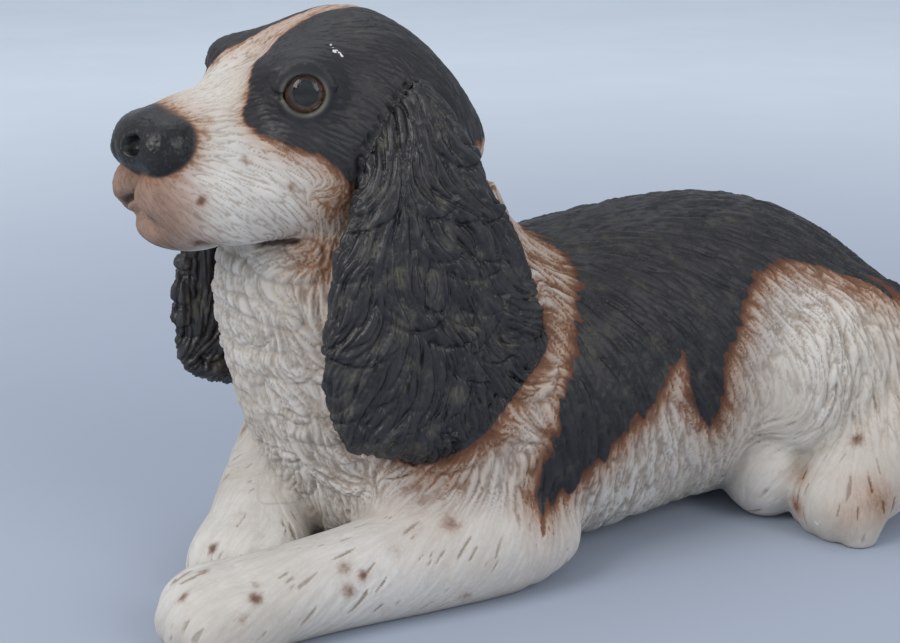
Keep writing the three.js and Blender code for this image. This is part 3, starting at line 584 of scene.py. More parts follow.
def lock_relief(v):
    """How far the locks stand out, in millimetres, and how deep the furrow beside each is."""
    height, furrow = np.zeros(len(v)), np.zeros(len(v))
    for path, half, top in locks:
        low, high = path.min(0) - half * 1.6, path.max(0) + half * 1.6
        close = np.flatnonzero(np.all((v > low) & (v < high), axis=1))
        if not len(close):
            continue
        p = v[close]
        best, along = np.full(len(close), 1e9), np.zeros(len(close))
        for k, (a, b) in enumerate(zip(path[:-1], path[1:])):
            d = b - a
            t = np.clip((p - a) @ d / (d @ d + 1e-6), 0, 1)
            dist = np.linalg.norm(p - a - t[:, None] * d, axis=1)
            nearer = dist < best
            best[nearer], along[nearer] = dist[nearer], (k + t[nearer]) / (len(path) - 1)
        width = half * (0.5 + 0.5 * np.sin(np.pi * along ** 0.7)) * (1 - along ** 5 * 0.7)
        across = best / width
        rise = top * along ** 0.8 * (1 - 0.5 * along ** 8)
        bump = rise * np.sqrt(unit(1 - across ** 2))
        height[close] = np.maximum(height[close], bump)
        rim = np.exp(-((across - 1.08) / 0.16) ** 2) * along * (along < 0.99) * min(1, top / 2)
        furrow[close] = np.maximum(furrow[close], np.where(bump > height[close] - 0.05, rim, 0))
    return height, furrow


def step_up(low, high, s):
    """0 at low, rising smoothly to 1 at high."""
    s = unit((s - low) / (high - low))
    return s * s * (3 - 2 * s)


def near_spots(v, spots):
    """Soft round spots: each x, y, z, radius, strength."""
    out = np.zeros(len(v))
    for x, y, z, radius, strength in spots:
        out = np.maximum(out, strength * np.exp(-np.sum((v - (x, y, z)) ** 2, axis=1) / radius ** 2))
    return out


def near_line(v, points, width):
    """Falls from 1 on a line to 0 well away from it."""
    return np.exp(-(rod([v[:, 0], v[:, 1], v[:, 2]], points, 0) / width) ** 2)


# ---- relief and paint

bend = sum(np.gradient(slope[..., k], COARSE, axis=k) for k in range(3)).astype(np.float32)
for k in range(3):
    bend = (np.roll(bend, 1, k) + 2 * bend + np.roll(bend, -1, k)) / 4


def within(a, b, corners):
    """Signed distance to a polygon, positive inside."""
    best, inside = np.full(len(a), 1e9), np.zeros(len(a), bool)
    for (x0, y0), (x1, y1) in zip(corners, corners[1:] + corners[:1]):
        dx, dy = x1 - x0, y1 - y0
        t = np.clip(((a - x0) * dx + (b - y0) * dy) / (dx * dx + dy * dy), 0, 1)
        best = np.minimum(best, (a - x0 - t * dx) ** 2 + (b - y0 - t * dy) ** 2)
        inside ^= ((y0 > b) != (y1 > b)) & (a < dx * (b - y0) / (dy + 1e-9) + x0)
    return np.where(inside, 1, -1) * np.sqrt(best)


# The black saddle and the black of the head, seen from the side: along the dog and up.
SADDLE = [
    (30, 200), (28, 125), (37, 119), (37, 113), (33, 106), (27, 95), (20, 83), (14, 70), (9, 59), (5, 48),
    (3, 38), (5, 33), (9, 35), (15, 38), (22, 42), (31, 49), (42, 58), (52, 65), (60, 73), (66, 81),
    (70, 83), (72, 74), (71, 64), (77, 57), (86, 50), (89, 58), (89, 70), (95, 83), (101, 91), (107, 99),
    (116, 104), (127, 106), (138, 106), (150, 103), (160, 98), (172, 91), (190, 83), (205, 75), (221, 62),
    (235, 48), (250, 34), (300, 20), (300, 200)]
MASK = [
    (-92, 240), (-92, 194), (-92.5, 184), (-91, 177), (-86, 173.5), (-80, 171), (-74, 168.5),
    (-68, 163.5), (-63, 158), (-58, 150), (-50, 142), (-32, 146), (-18, 156), (-6, 165), (12, 168),
    (40, 168), (40, 240)]
# The white stripe between the eyes: place along the head, and its right and left edges.
BLAZE = [
    (-115, -30, 30), (-95, -23, 23), (-89, -16, 18), (-82, -12.5, 11), (-72, -10, 6), (-60, -9, 5),
    (-44, -8, 5), (-32, -6, 4), (-24, 0, 0), (60, 0, 0)]
# Soft round spots, on the head and on the legs: x, y, z, radius, strength.
FRECKLES = [
    (18, -104, 180, 2.3, 0.6), (20, -106, 177.5, 2.0, 0.6), (26, -95, 166, 2.4, 0.7),
    (28, -112, 155, 2.3, 1), (34, -82, 157, 2.3, 0.7), (31, -95, 152, 1.9, 0.35),
    (30, -92, 143, 1.7, 0.5), (32, -89, 148, 2.0, 0.35), (-21, -107, 174, 2.3, 0.7),
    (-28, -96, 163, 2.2, 0.8), (-26, -110, 152, 2.1, 0.9), (-33, -84, 152, 2.2, 0.7),
    (-30, -94, 145, 1.8, 0.5), (-15, -112, 181, 1.8, 0.4)]
SPOTS = [
    (15, -107, 21, 3.0, 1), (52, -132, 24, 3.2, 1), (66, -110, 23, 3.0, 0.9), (68, -116, 18, 2.8, 0.9),
    (62, -108, 27, 2.4, 0.6), (66, -70, 23, 2.8, 0.9), (65, -76, 27, 3.2, 0.8), (67, -76, 19, 3.2, 0.8),
    (62, -33, 33, 4.6, 0.75), (64, -56, 28, 4.2, 0.4), (69, -30, 7, 3.4, 0.6), (8, -93, 30, 3.2, 0.35),
    (-31, -76, 47, 3.6, 0.7), (60, 114, 32, 3.4, 0.8), (79, 140, 40, 3.4, 0.9), (82, 125, 12, 1.4, 1),
    (86, 130, 8, 1.4, 1), (44, -120, 27, 2.8, 0.7), (40, -90, 30, 2.6, 0.6), (-64, -14, 44, 3.2, 0.7),
    (-58, -44, 38, 3.0, 0.7), (-70, 10, 20, 3.0, 0.6), (-30, -76, 22, 2.8, 0.7), (-64, 40, 30, 3.4, 0.6),
    (-52, 150, 34, 3.6, 0.7), (-58, 176, 52, 3.0, 0.6)]
# Brown worn into the left hind foot, and white chips there.
WORN = [(90, 140, 19, 10, 0.75), (66, 122, 24, 5, 0.6), (68, 119, 12, 5, 0.8), (88, 132, 14, 8, 0.55)]
CHIPS = [(80, 121, 9, 1.5, 1), (85, 124, 5, 1.1, 1), (77, 119, 12, 0.9, 1), (88, 130, 9, 1.0, 1)]
# The scratch over the left eye, as short strokes: where each starts along and up, and its run.
SCRATCH = [
    (-61.8, 202.4, 1.0, -1.2), (-61, 201.8, 0.5, -1.7), (-62, 200.9, 1.5, -0.3), (-60.6, 200.6, 0.8, -1.3)]


class Place:
    """Where points v of the bare figure lie, and how much of each part of it they belong to."""

    def __init__(self, v):
        self.v, self.p = v, [v[:, 0], v[:, 1], v[:, 2]]
        self.h = head_frame(self.p)
        self.on_head = np.stack(self.h, 1)
        self.eyes = [eye_local(self.h, side) for side in (1, -1)]
        belongs = {name: unit(1 - field(self.p) / 4) for name, (field, *_) in GROUPS.items()}
        self.ears = np.maximum(belongs["left_ear"], belongs["right_ear"])
        self.head = belongs["head_casting"] * (1 - self.ears)
        self.haunch = step_up(112, 140, v[:, 1]) * belongs["left_hind_leg"] * step_up(30, 60, v[:, 2])
        legs = [belongs[leg] for leg in ("left_foreleg", "right_foreleg", "left_hind_leg", "right_hind_paw")]
        self.feet = np.maximum.reduce(legs) * (1 - self.haunch)
        self.body = 1 - unit(self.head + self.ears + self.feet)
        self.off_nose = nose_pad(self.h)
        self.nose = step_up(0.9, 0.1, self.off_nose)


def hair(at, fine, middle, broad):
    """Relief in millimetres, and weights of its furrows and its ridges, from three sizes of streaks."""
    v, y = at.v, at.h[1]
    patchy = value_noise(v / 11 + 3.3, 3)
    lock, furrow = lock_relief(v)
    eye = np.minimum(*(np.sqrt(sum(c * c for c in e)) for e in at.eyes))
    bare = np.maximum(at.nose, step_up(11.5, 9, eye))
    furry = (1 - bare) * step_up(0.3, 3.0, v[:, 2])
    face, muzzle = step_up(-40, -75, y), step_up(-96, -118, y)
    shares = (at.head, at.ears, at.body, at.feet, at.haunch)
    in_fine, in_middle, in_broad = (sum(a * share for a, share in zip(amounts, shares)) for amounts in (
        (0.26 * (1 - 0.2 * muzzle), 0.20, 0.22, 0.05, 0.15),
        (0.20 * (1 - 0.75 * face), 1.0, 0.6, 0.08, 0.36),
        (0.1 * (1 - face), 0.75, 0.8, 0.14, 0.55)))
    relief = in_fine * strands(fine) + in_middle * strands(middle) + in_broad * strands(broad)
    scratch = step_up(1.35, 1.85, fine) * step_up(0.34, 0.5, patchy) * at.feet * step_up(1.5, 4, v[:, 2])
    relief -= 0.5 * scratch
    relief = relief * furry + (lock - 0.9 * furrow) * furry * (1 - at.head) * (1 - at.feet)
    deep = np.maximum.reduce([furrows(fine, 0.34) * unit(in_fine * 4.2) * 0.75,
                              furrows(middle, 0.30) * unit(in_middle * 2.4),
                              furrows(broad, 0.22) * unit(in_broad * 1.6) * 0.9, furrow, scratch])
    ridge = unit(strands(middle) * 0.9 + 0.35) * unit(strands(broad) * 0.6 + 0.5)
    leather = value_noise(v / 0.9, 2) - 0.5 + 0.6 * (value_noise(v / 0.45, 1) - 0.5)
    relief += 0.22 * leather * at.nose
    return relief, unit(deep * furry), unit(ridge + lock / 5) * furry


def black_edges(at, fine, middle, feather):
    """Millimetres inside the saddle, inside the mask, and inside anything black."""
    x, y, z = at.p
    hx, hy, hz = at.h
    saddle = within(y, z, SADDLE) + np.clip(feather, -4, 4) * 0.75
    near_tail = step_up(196, 216, y) * 7
    saddle = np.minimum(saddle, 60) - near_tail * (np.abs(x + 6) > 26)
    rows = np.array(BLAZE, float)
    right, left = (np.interp(hy, rows[:, 0], rows[:, k]) for k in (1, 2))
    blaze = np.minimum(hx - right, left - hx)
    ragged = np.clip(0.35 * fine + 0.35 * middle + 2 * (value_noise(at.v / 5, 0) - 0.5), -2, 2)
    mask = np.minimum(within(hy, hz, MASK), -blaze) + ragged
    mask = np.where((hz > 138) & (hy < 40), mask, -30)
    ear = np.clip(at.ears * 30 - 15, -15, 15)
    tail = limb(at.p, TAIL)
    tail = np.where(tail < 4, 6 - tail * 3, -20)
    return saddle, mask, np.maximum.reduce([saddle, mask, ear, tail])


def airbrushed(at, saddle, mask, middle, broad, feather):
    """Weight of the brown sprayed beside the black, on the cheeks, the nape, and where the black is worn."""
    v, y, z = at.v, at.p[1], at.p[2]
    hy, hz = at.h[1], at.h[2]
    wide = 5.6 + 4.2 * value_noise(v / 24 + 7.7, 1)
    by_saddle = np.exp(-np.clip(-saddle + 0.5 * feather, 0, 40) / wide)
    under_eye = step_up(182, 168, hz) * step_up(-100, -84, hy)
    by_mask = np.exp(-np.clip(-mask, 0, 40) / (2.8 + 2.8 * under_eye))
    off_ear = np.minimum(ear_field(at.p, 1), ear_field(at.p, -1)) + 0.8 * feather
    by_ear = np.exp(-np.clip(off_ear, 0, 60) / (wide * 1.5)) * step_up(178, 150, z)
    nape = step_up(-30, -8, y) * step_up(58, 30, y) * step_up(60, 100, z) * step_up(180, 160, z)
    nape = nape * np.clip(0.34 - 0.22 * strands(broad) - 0.22 * strands(middle), 0, 0.9)
    brow = step_up(-92, -68, hy) * step_up(178, 190, hz) * 0.5
    cheeks = [(across * side, *spot) for side in (1, -1)
              for across, *spot in ((44, -66, 148, 14, 0.85), (34, -70, 130, 15, 0.6))]
    by_nose = np.exp(-np.clip(at.off_nose, 0, 20) / 2.2) * 0.9 * step_up(-97, -106, hy)
    worn = near_spots(v, WORN)
    return unit(np.maximum.reduce([by_saddle, by_mask, by_ear, nape, brow, near_spots(at.on_head, cheeks),
                                   by_nose, worn]))


def mouth_paint(at, middle):
    """Weights of the brown of the lips, and of the dark of the parting and under the chin."""
    hx, hy, hz = at.h
    low = hz > 122
    lips = near_line(np.stack([np.abs(hx), hy, hz], 1), MOUTH[:6], 7.5) * step_up(-98, -112, hy) * 0.9
    lips = np.maximum(lips, step_up(-104, -122, hy + 1.5 * middle) * step_up(172, 160, hz) * low * 0.95)
    chin = step_up(-96, -114, hy) * step_up(141, 134, hz) * low * 0.7
    return lips, np.maximum(mouth_line(at.h, 1.5) * 0.95, chin * 0.75)


def eye_paint(at):
    """Weights of the dark sockets and of the pale rims round them."""
    sockets, rims = [], []
    for e in at.eyes:
        radius = np.sqrt((e[0] * 0.95) ** 2 + e[1] ** 2)
        rims.append(np.exp(-((radius - 7.3) / 0.6) ** 2) * (np.abs(e[2]) < 5) * step_up(9, 0, e[1]))
        sockets.append(step_up(6.9, 6.3, radius) * (np.abs(e[2]) < 9))
        sockets.append(near_spots(np.stack(e, 1), [(-9.4, -0.8, 1.4, 1.8, 1)]))
    return np.maximum.reduce(sockets), np.maximum(*rims)


def chipped(at):
    """Weight of the bare white in the scratch over the left eye and on the left hind foot."""
    v, h = at.v, at.h
    flat = np.stack([0 * h[0], h[1], h[2]], 1)
    scratch = np.maximum.reduce([near_line(flat, [(0, y, z), (0, y + dy, z + dz)], 0.36)
                                 for y, z, dy, dz in SCRATCH])
    scratch = unit(scratch * 1.5 * (value_noise(v / 0.7, 3) > 0.38)) * (h[0] > 0)
    return np.maximum(scratch, near_spots(v + 1.6 * (value_noise(v / 1.1, 2)[:, None] - 0.5), CHIPS))


def dress(v, middle, broad, pitch):
    """Relief in millimetres and paint weights for points v of the bare figure, with their streaks.

    pitch is that of the finest strands.
    """
    at = Place(v)
    fine = streaks(v, pitch, 0)
    relief, deep, ridge = hair(at, fine, middle, broad)
    feather = 1.2 * middle + 1.4 * broad + 2.4 * (value_noise(v / 9, 0) - 0.5)
    saddle, mask, black = black_edges(at, fine, middle, feather)
    lips, dark = mouth_paint(at, middle)
    socket, rim = eye_paint(at)
    warp = 1.2 * (value_noise(v / 2.2, 2) - 0.5)[:, None]
    # Painted shade: hollow is how concave the figure is; with nearness to the floor it weights a shade
    # painted into the cream.
    hollow = unit(-trilinear(bend, flow_axes, v) * 9 - 0.25)
    weights = {
        "black": step_up(-2.2, 1.6, black),
        "airbrush": airbrushed(at, saddle, mask, middle, broad, feather),
        "spots": np.maximum(near_spots(v + warp, SPOTS), near_spots(at.on_head + warp, FRECKLES)),
        "deep": deep, "nose": at.nose, "lips": lips, "dark": dark, "socket": socket, "rim": rim,
        "chips": chipped(at), "hollow_shade": unit(0.75 * hollow + 0.25 * step_up(10, 0, v[:, 2])), "ridge": ridge}
    return relief, unit(np.stack([weights[name] for name in PAINTS], 1))


# The paint weights, in the order they are stored; one of them weights a painted shade in the hollows and by
# the floor.
PAINTS = ["black", "airbrush", "spots", "deep", "nose", "lips", "dark", "socket", "rim", "chips", "hollow_shade",
          "ridge"]


# ---- meshes

def subdivide(v, quads):
    """Splits every quad in four."""
    ends = np.stack([quads, np.roll(quads, -1, axis=1)], axis=2).reshape(-1, 2)
    ends = np.sort(ends, axis=1).astype(np.int64)
    keys, index = np.unique(ends[:, 0] * len(v) + ends[:, 1], return_inverse=True)
    middles = (v[keys // len(v)] + v[keys % len(v)]) / 2
    e = len(v) + index.reshape(-1, 4)
    c = len(v) + len(middles) + np.arange(len(quads))
    parts = [np.stack([quads[:, k], e[:, k], c, e[:, k - 1]], axis=1) for k in range(4)]
    return np.vstack([v, middles, v[quads].mean(1)]), np.vstack(parts)


def main_body(v, quads):
    """Keeps the largest connected part."""
    label = np.arange(len(v))
    while True:
        least = label[quads].min(1)
        new = label.copy()
        np.minimum.at(new, quads.ravel(), np.repeat(least, 4))
        new = new[new]
        if np.array_equal(new, label):
            break
        label = new
    names, counts = np.unique(label[quads[:, 0]], return_counts=True)
    keep = label == names[counts.argmax()]
    index = np.cumsum(keep) - 1
    return v[keep], index[quads[keep[quads[:, 0]]]]


def to_row(v):
    """Modelling millimetres to the row frame's metres."""
    return (np.asarray(v) + SHIFT) / 1000


def add_object(name, data, material=None):
    """An object for a mesh, a light or the camera."""
    obj = bpy.data.objects.new(name, data)
    bpy.context.scene.collection.objects.link(obj)
    if material:
        data.materials.append(material)
    return obj


def make_mesh(name, v, faces, material, flat):
    """A mesh object in the row frame, from modelling millimetres and faces of one kind, some of them flat."""
    mesh = bpy.data.meshes.new(name)
    sides = faces.shape[1]
    mesh.vertices.add(len(v))
    mesh.vertices.foreach_set("co", to_row(v).astype(np.float32).ravel())
    mesh.loops.add(faces.size)
    mesh.loops.foreach_set("vertex_index", faces.astype(np.int32).ravel())
    mesh.polygons.add(len(faces))
    mesh.polygons.foreach_set("loop_start", np.arange(0, faces.size, sides, dtype=np.int32))
    mesh.update(calc_edges=True)
    mesh.polygons.foreach_set("use_smooth", ~flat)
    mesh.validate()
    return add_object(name, mesh, material)


OVERLAP = 1.1       # millimetres that a casting reaches into its neighbour
CUT_SLOPE = 0.7     # how steeply the cut between neighbours is faced


def casting(name, owner, step, material):
    """One casting of the figure, with its hair and paint."""
    low, high = GROUPS[owner][2:]
    axes, whole, share = sample(np.array(low) - 3.0, np.array(high) + 3.0, step, owner)
    grid = openvdb.FloatGrid(6.0)
    grid.copyFromArray(np.maximum(whole, CUT_SLOPE * share - OVERLAP))
    v, quads = grid.convertToQuads(0.0)
    v, quads = main_body(np.asarray(v, float), np.asarray(quads, np.int64))
    v = v * step + np.array([a[0] for a in axes])
    carried = np.stack([streaks(v, 1.7, 1), streaks(v, 2.9, 2)], axis=1)
    v, quads = subdivide(np.hstack([v, carried]), quads)
    middle, broad, v = v[:, 3], v[:, 4], v[:, :3].copy()
    across = v[quads[:, 2]] - v[quads[:, 0]]
    other = v[quads[:, 3]] - v[quads[:, 1]]
    if np.sum(v[quads[:, 0]] * np.cross(across, other)) < 0:
        quads = quads[:, ::-1]
    normals = np.stack(np.gradient(whole, step), axis=-1).astype(np.float32)
    skin_value, wall_value = trilinear(whole, axes, v), CUT_SLOPE * trilinear(share, axes, v) - OVERLAP
    skin = skin_value > wall_value - 0.02
    n = trilinear(normals, axes, v)
    length = np.linalg.norm(n, axis=1, keepdims=True) + 1e-6
    n = n / length
    v[skin] -= n[skin] * np.clip(skin_value / length[:, 0], -0.4, 0.4)[skin, None] * 0.8
    paint = np.zeros((len(v), len(PAINTS)))
    relief, paint = dress(v, middle, broad, 0.95 * step)
    move = np.where(skin, relief, 0)
    v += n * move[:, None]
    v[:, 2] = np.maximum(v[:, 2], 0)
    obj = make_mesh(name, v, quads, material, ~skin[quads].any(1))
    for k in range(0, len(PAINTS), 3):
        layer = obj.data.attributes.new("paint_%d" % (k // 3), "FLOAT_COLOR", "POINT")
        colour = np.hstack([paint[:, k:k + 3], np.ones((len(v), 1))])
        layer.data.foreach_set("color", colour.astype(np.float32).ravel())
    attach(obj, "root")
    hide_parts(*((owner, "rump_casting") if owner == "trunk_casting" else (owner,)))
    print(name, len(quads))


def turned(name, profile, side, material, node):
    """A body turned about an eye's axis.

    profile: radius and height out of the socket, from centre to centre.
    """
    rings, around = catmull(profile, 28), 64
    out = eye_axis(side)
    across = np.array([-out[1], out[0], 0]) / math.hypot(out[0], out[1])
    up = np.cross(out, across)
    angles = [2 * math.pi * k / around for k in range(around)]
    turns = [across * math.cos(a) + up * math.sin(a) for a in angles]
    points = [eye_centre(side) + way * max(r, 0.02) + out * z for r, z in rings[1:-1] for way in turns]
    faces = []
    for i in range(len(rings) - 3):
        for k in range(around):
            j = (k + 1) % around
            faces.append((i * around + k, (i + 1) * around + k, (i + 1) * around + j, i * around + j))
    points += [eye_centre(side) + out * rings[0][1], eye_centre(side) + out * rings[-1][1]]
    last = (len(rings) - 3) * around
    mesh = bpy.data.meshes.new(name)
    caps = [(len(points) - 2, k, (k + 1) % around) for k in range(around)]
    caps += [(len(points) - 1, last + (k + 1) % around, last + k) for k in range(around)]
    mesh.from_pydata([tuple(to_row(from_head(q))) for q in points], [], faces + caps)
    mesh.polygons.foreach_set("use_smooth", np.ones(len(mesh.polygons), bool))
    obj = add_object(name, mesh, material)
    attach(obj, "root")
    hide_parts(node)


# ---- materials

def srgb(r, g, b):
    """An 8-bit display colour as a linear one."""
    c = [x / 255 for x in (r, g, b)]
    return tuple(x / 12.92 if x <= 0.04045 else ((x + 0.055) / 1.055) ** 2.4 for x in c) + (1.0,)


class Nodes:
    """Short calls for building a node material. A tuple of three is an 8-bit display colour."""

    def __init__(self, name):
        self.material = bpy.data.materials.new(name)
        self.material.use_nodes = True
        self.tree = self.material.node_tree
        self.shader = self.tree.nodes["Principled BSDF"]
        self.place = self.tree.nodes.new("ShaderNodeTexCoord").outputs["Object"]

    def link(self, value, socket):
        if isinstance(value, tuple) and len(value) == 3:
            value = srgb(*value)
        if isinstance(value, (int, float, tuple)):
            socket.default_value = value
        else:
            self.tree.links.new(value, socket)

    def put(self, **values):
        """Links values to the shader's sockets, with _ for a space in their names."""
        for name, value in values.items():
            self.link(value, self.shader.inputs[name.replace("_", " ")])

    def noise(self, pitch_mm, detail=3.0, rough=0.55):
        """Noise in object space with lumps of about pitch_mm."""
        node = self.tree.nodes.new("ShaderNodeTexNoise")
        node.inputs["Scale"].default_value = 1000 / pitch_mm / 2
        node.inputs["Detail"].default_value = detail
        node.inputs["Roughness"].default_value = rough
        self.link(self.place, node.inputs["Vector"])
        return node.outputs["Fac"]

    def math(self, operation, a, b=0.0, clamp=False):
        node = self.tree.nodes.new("ShaderNodeMath")
        node.operation, node.use_clamp = operation, clamp
        self.link(a, node.inputs[0])
        self.link(b, node.inputs[1])
        return node.outputs[0]

    def times(self, a, b, clamp=False):
        return self.math("MULTIPLY", a, b, clamp)

    def ramp(self, value, low, high, a=0.0, b=1.0):
        """Maps low..high smoothly to a..b."""
        node = self.tree.nodes.new("ShaderNodeMapRange")
        node.interpolation_type = "SMOOTHSTEP"
        for k, x in zip(("Value", "From Min", "From Max", "To Min", "To Max"), (value, low, high, a, b)):
            self.link(x, node.inputs[k])
        return node.outputs[0]

    def mix(self, share, a, b):
        """Colour a turning into b."""
        node = self.tree.nodes.new("ShaderNodeMix")
        node.data_type = "RGBA"
        self.link(share, node.inputs["Factor"])
        self.link(a, node.inputs[6])
        self.link(b, node.inputs[7])
        return node.outputs[2]

    def paints(self):
        """The paint weights stored on the mesh."""
        found = {}
        for k in range(0, len(PAINTS), 3):
            layer = self.tree.nodes.new("ShaderNodeAttribute")
            layer.attribute_name = "paint_%d" % (k // 3)
            split = self.tree.nodes.new("ShaderNodeSeparateColor")
            self.link(layer.outputs["Color"], split.inputs[0])
            for name, output in zip(PAINTS[k:k + 3], split.outputs):
                found[name] = output
        return found

    def bump(self, height, distance_mm, strength=1.0, under=None):
        node = self.tree.nodes.new("ShaderNodeBump")
        node.inputs["Distance"].default_value = distance_mm / 1000
        node.inputs["Strength"].default_value = strength
        self.link(height, node.inputs["Height"])
        if under is not None:
            self.link(under, node.inputs["Normal"])
        return node.outputs[0]


def painted_ceramic(name, black_coat):
    """Bisque with a cold-painted coat: cream, airbrushed brown, black, freckles and wear, with a painted
    shade in the hollows and a painted highlight on the ridges of the black.
    """
    n = Nodes(name)
    paint = n.paints()
    deep, airbrush = paint["deep"], paint["airbrush"]
    cloud, mottle, grain = n.noise(26, 4), n.noise(5, 4, 0.6), n.noise(0.7, 3, 0.6)

    cream = n.mix(n.ramp(cloud, 0.35, 0.68), (203, 195, 184), (218, 213, 206))
    cream = n.mix(n.ramp(mottle, 0.52, 0.75, 0, 0.35), cream, (196, 183, 166))
    cream = n.mix(n.times(deep, n.ramp(cloud, 0.3, 0.7, 0.35, 0.75)), cream, (132, 112, 90))
    # Painted shade: a greyish brown darkens the cream in the hollows of the figure and towards its bottom by
    # the floor.
    cream = n.mix(n.times(paint["hollow_shade"], n.ramp(mottle, 0.3, 0.65, 0.25, 0.75)), cream, (118, 105, 88))

    brown = n.mix(n.ramp(mottle, 0.35, 0.7), (160, 118, 88), (176, 138, 110))
    brown = n.mix(n.ramp(airbrush, 0.45, 0.98), brown, (100, 62, 44))
    brown = n.mix(n.times(deep, 0.7), brown, (92, 56, 40))
    spread = n.times(airbrush, n.math("ADD", n.ramp(grain, 0.3, 0.62, 1.0, 1.3), deep), True)
    colour = n.mix(spread, cream, brown)

    lips = n.mix(n.ramp(mottle, 0.4, 0.65), (140, 98, 74), (118, 80, 58))
    lips = n.mix(n.times(deep, 0.75), lips, (104, 68, 48))
    colour = n.mix(n.times(paint["lips"], 0.85), colour, lips)
    freckle = n.ramp(n.math("ADD", paint["spots"], n.ramp(grain, 0.3, 0.7, -0.08, 0.08)), 0.06, 0.95)
    colour = n.mix(n.times(freckle, 0.92), colour, n.mix(freckle, (164, 122, 96), (98, 64, 48)))
    colour = n.mix(n.ramp(paint["dark"], 0.2, 0.9, 0, 0.92), colour, (62, 40, 32))

    coat = n.mix(n.ramp(mottle, 0.35, 0.7), (38, 36, 38), (48, 46, 48))
    coat = n.mix(n.times(deep, 0.6), coat, (20, 18, 18))
    # Lighter grey on the tops of the strands in the black: partly dry-brushed paint, partly a painted
    # highlight.
    drybrush_and_sheen = n.times(n.ramp(paint["ridge"], 0.42, 0.95), n.ramp(mottle, 0.42, 0.66, 0.12, 0.6))
    coat = n.mix(drybrush_and_sheen, coat, (84, 82, 82))
    dusty = n.times(deep, n.ramp(mottle, 0.5, 0.68, 0, 0.75 if black_coat else 0.4))
    coat = n.mix(dusty, coat, (104, 100, 84))
    black = n.ramp(n.math("ADD", paint["black"], n.ramp(grain, 0.3, 0.7, -0.12, 0.12)), 0.3, 0.7)
    colour = n.mix(black, colour, coat)

    nose = n.mix(n.ramp(grain, 0.52, 0.7, 0, 0.7), (22, 21, 22), (56, 54, 54))
    colour = n.mix(paint["nose"], colour, nose)
    colour = n.mix(n.times(paint["socket"], 0.9), colour, (22, 18, 17))
    colour = n.mix(n.times(paint["rim"], n.ramp(mottle, 0.35, 0.65, 0.35, 0.8)), colour, (118, 115, 98))
    colour = n.mix(n.ramp(paint["chips"], 0.35, 0.6, 0, 0.95), colour, (226, 224, 220))

    dark = n.math("MAXIMUM", black, paint["nose"])
    rough = n.math("ADD", n.ramp(dark, 0, 1, 0.78, 0.44), n.ramp(mottle, 0.3, 0.7, -0.05, 0.09))
    rough = n.math("SUBTRACT", rough, n.times(paint["nose"], 0.1))
    if black_coat:
        rough = n.math("SUBTRACT", rough, 0.08)
    n.shader.inputs["Specular IOR Level"].default_value = 0.5 if black_coat else 0.42
    relief = n.bump(n.noise(1.3, 4, 0.62), 0.22, 0.75)
    n.put(Base_Color=colour, Roughness=rough, Normal=n.bump(grain, 0.12, 0.8, relief))
    return n.material


def eye_glass():
    n = Nodes("eye_glass")
    n.shader.inputs["Transmission Weight"].default_value = 1.0
    n.shader.inputs["IOR"].default_value = 1.4
    n.put(Base_Color=n.mix(n.noise(4), (0.97, 0.96, 0.94, 1.0), (1.0, 1.0, 1.0, 1.0)),
          Roughness=n.ramp(n.noise(2.5), 0.4, 0.8, 0.03, 0.06))
    return n.material


def iris_enamel():
    n = Nodes("iris_enamel")
    n.put(Base_Color=n.mix(n.ramp(n.noise(0.9, 4, 0.7), 0.35, 0.7), (58, 34, 20), (110, 68, 38)),
          Roughness=n.ramp(n.noise(1.0), 0.3, 0.7, 0.3, 0.45),
          Normal=n.bump(n.noise(0.5), 0.05, 0.6))
    n.shader.inputs["Specular IOR Level"].default_value = 0.15
    return n.material


def pupil_enamel():
    n = Nodes("pupil_enamel")
    n.put(Base_Color=n.mix(n.noise(1.5), (6, 5, 5), (14, 12, 11)),
          Roughness=n.ramp(n.noise(1.0), 0.3, 0.7, 0.4, 0.5))
    n.shader.inputs["Specular IOR Level"].default_value = 0.05
    return n.material


def studio_floor():
    """Blue-grey by the figure and paler with distance: painted shade near the figure and painted light far
    off, for the fall of the studio light.
    """
    n = Nodes("studio_floor")
    far = n.tree.nodes.new("ShaderNodeVectorMath")
    far.operation = "LENGTH"
    n.link(n.place, far.inputs[0])
    # Painted shade and light: the floor's colour darkens towards the figure and pales with distance.
    pale = n.mix(n.ramp(far.outputs["Value"], 0.15, 1.3), (171, 180, 195), (240, 248, 255))
    n.put(Base_Color=n.mix(n.ramp(n.noise(60, 2), 0.3, 0.7, 0, 0.05), pale, (166, 172, 184)),
          Roughness=n.ramp(n.noise(30, 2), 0.3, 0.7, 0.7, 0.85))
    n.shader.inputs["Specular IOR Level"].default_value = 0.2
    return n.material


# ---- the pieces

cream_coat = painted_ceramic("cream_painted_ceramic", False)
black_coat = painted_ceramic("black_painted_ceramic", True)
for owner, piece_name, step in (
        ("head_casting", "head", 0.95), ("left_ear", "ear_left", 1.0), ("right_ear", "ear_right", 1.1),
        ("trunk_casting", "trunk", 1.45), ("left_foreleg", "foreleg_left", 1.15),
        ("right_foreleg", "foreleg_right", 1.25), ("left_hind_leg", "hind_leg_left", 1.15),
        ("right_hind_paw", "hind_paw_right", 1.25), ("tail", "tail_curled", 1.25)):
    casting(piece_name, owner, step, black_coat if owner in ("left_ear", "right_ear", "tail") else cream_coat)

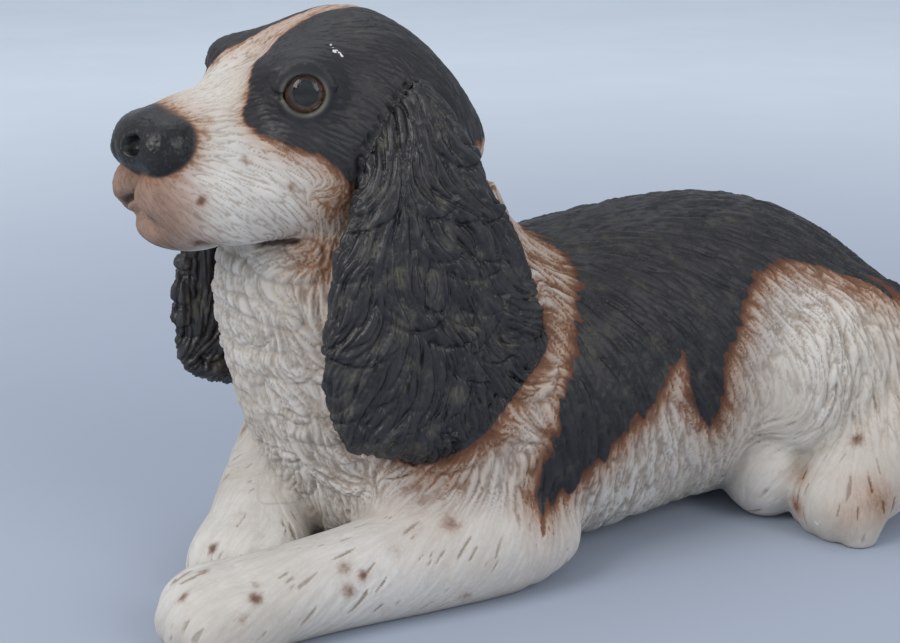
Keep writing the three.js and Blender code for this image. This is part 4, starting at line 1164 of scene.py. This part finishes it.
glass, iris, pupil = eye_glass(), iris_enamel(), pupil_enamel()
GLASS = [(0, 2.6), (2.2, 2.42), (4.4, 1.75), (6.2, 0.35), (7.0, -1.0), (7.0, -1.45), (6.6, -1.5), (3.3, -1.5),
         (0, -1.5)]
IRIS = [(0, -2.7), (3.0, -2.7), (5.0, -2.62), (6.6, -2.2), (6.9, -2.3), (6.9, -3.1), (6.4, -3.3), (0, -3.3)]
PUPIL = [(0, -1.95), (2.0, -1.96), (3.2, -2.02), (3.6, -2.15), (3.5, -2.3), (0, -2.4)]
for side, word in ((1, "left"), (-1, "right")):
    turned("eye_glass_" + word, GLASS, side, glass, word + "_eye_glass")
    turned("eye_iris_" + word, IRIS, side, iris, word + "_eye_iris")
    turned("eye_pupil_" + word, PUPIL, side, pupil, word + "_eye_pupil")

# ---- stage, light and camera

scene = bpy.context.scene
middle = (Vector(cad_box[0]) + Vector(cad_box[1])) / 2

floor_mesh = bpy.data.meshes.new("floor")
corners = [math.tau * k / 96 for k in range(96)]
rim = [(6 * math.cos(a), 6 * math.sin(a), -0.0002) for a in corners]
floor_mesh.from_pydata(rim, [], [tuple(range(len(rim)))])
floor = add_object("floor", floor_mesh, studio_floor())

world = bpy.data.worlds.new("studio")
world.use_nodes = True
background = world.node_tree.nodes["Background"].inputs
background["Color"].default_value = (0.80, 0.87, 0.98, 1.0)
background["Strength"].default_value = 0.6
scene.world = world

turn, lift = math.radians(62), math.radians(17)
toward = Vector((math.sin(turn) * math.cos(lift), -math.cos(turn) * math.cos(lift), math.sin(lift)))
target = Vector(to_row((0, 0, 88)))
camera_data = bpy.data.cameras.new("camera")
camera_data.lens, camera_data.sensor_width, camera_data.sensor_fit = 70, 36, "HORIZONTAL"
camera_data.clip_start, camera_data.clip_end = 0.01, 50
camera = add_object("camera", camera_data)
camera.location = target + toward * 0.68
camera.rotation_euler = toward.to_track_quat("Z", "Y").to_euler()
scene.camera = camera


def softbox(name, place, width, height, watts, colour=(1, 1, 1)):
    """A rectangular soft light that faces the figure."""
    data = bpy.data.lights.new(name, "AREA")
    data.shape, data.size, data.size_y = "RECTANGLE", width, height
    data.energy, data.color = watts, colour
    light = add_object(name, data)
    light.location = middle + Vector(place)
    light.rotation_euler = Vector(place).to_track_quat("Z", "Y").to_euler()


softbox("key_softbox", (0.25, -1.25, 0.95), 0.7, 0.9, 10, (1.0, 0.985, 0.96))
softbox("side_softbox", (1.35, 0.35, 0.8), 0.7, 0.9, 5.5, (1.0, 0.99, 0.98))
softbox("top_softbox", (-0.5, 0.1, 1.5), 1.2, 1.2, 4.5, (0.96, 0.98, 1.0))
scene.view_settings.view_transform = "Standard"
scene.view_settings.look = "None"
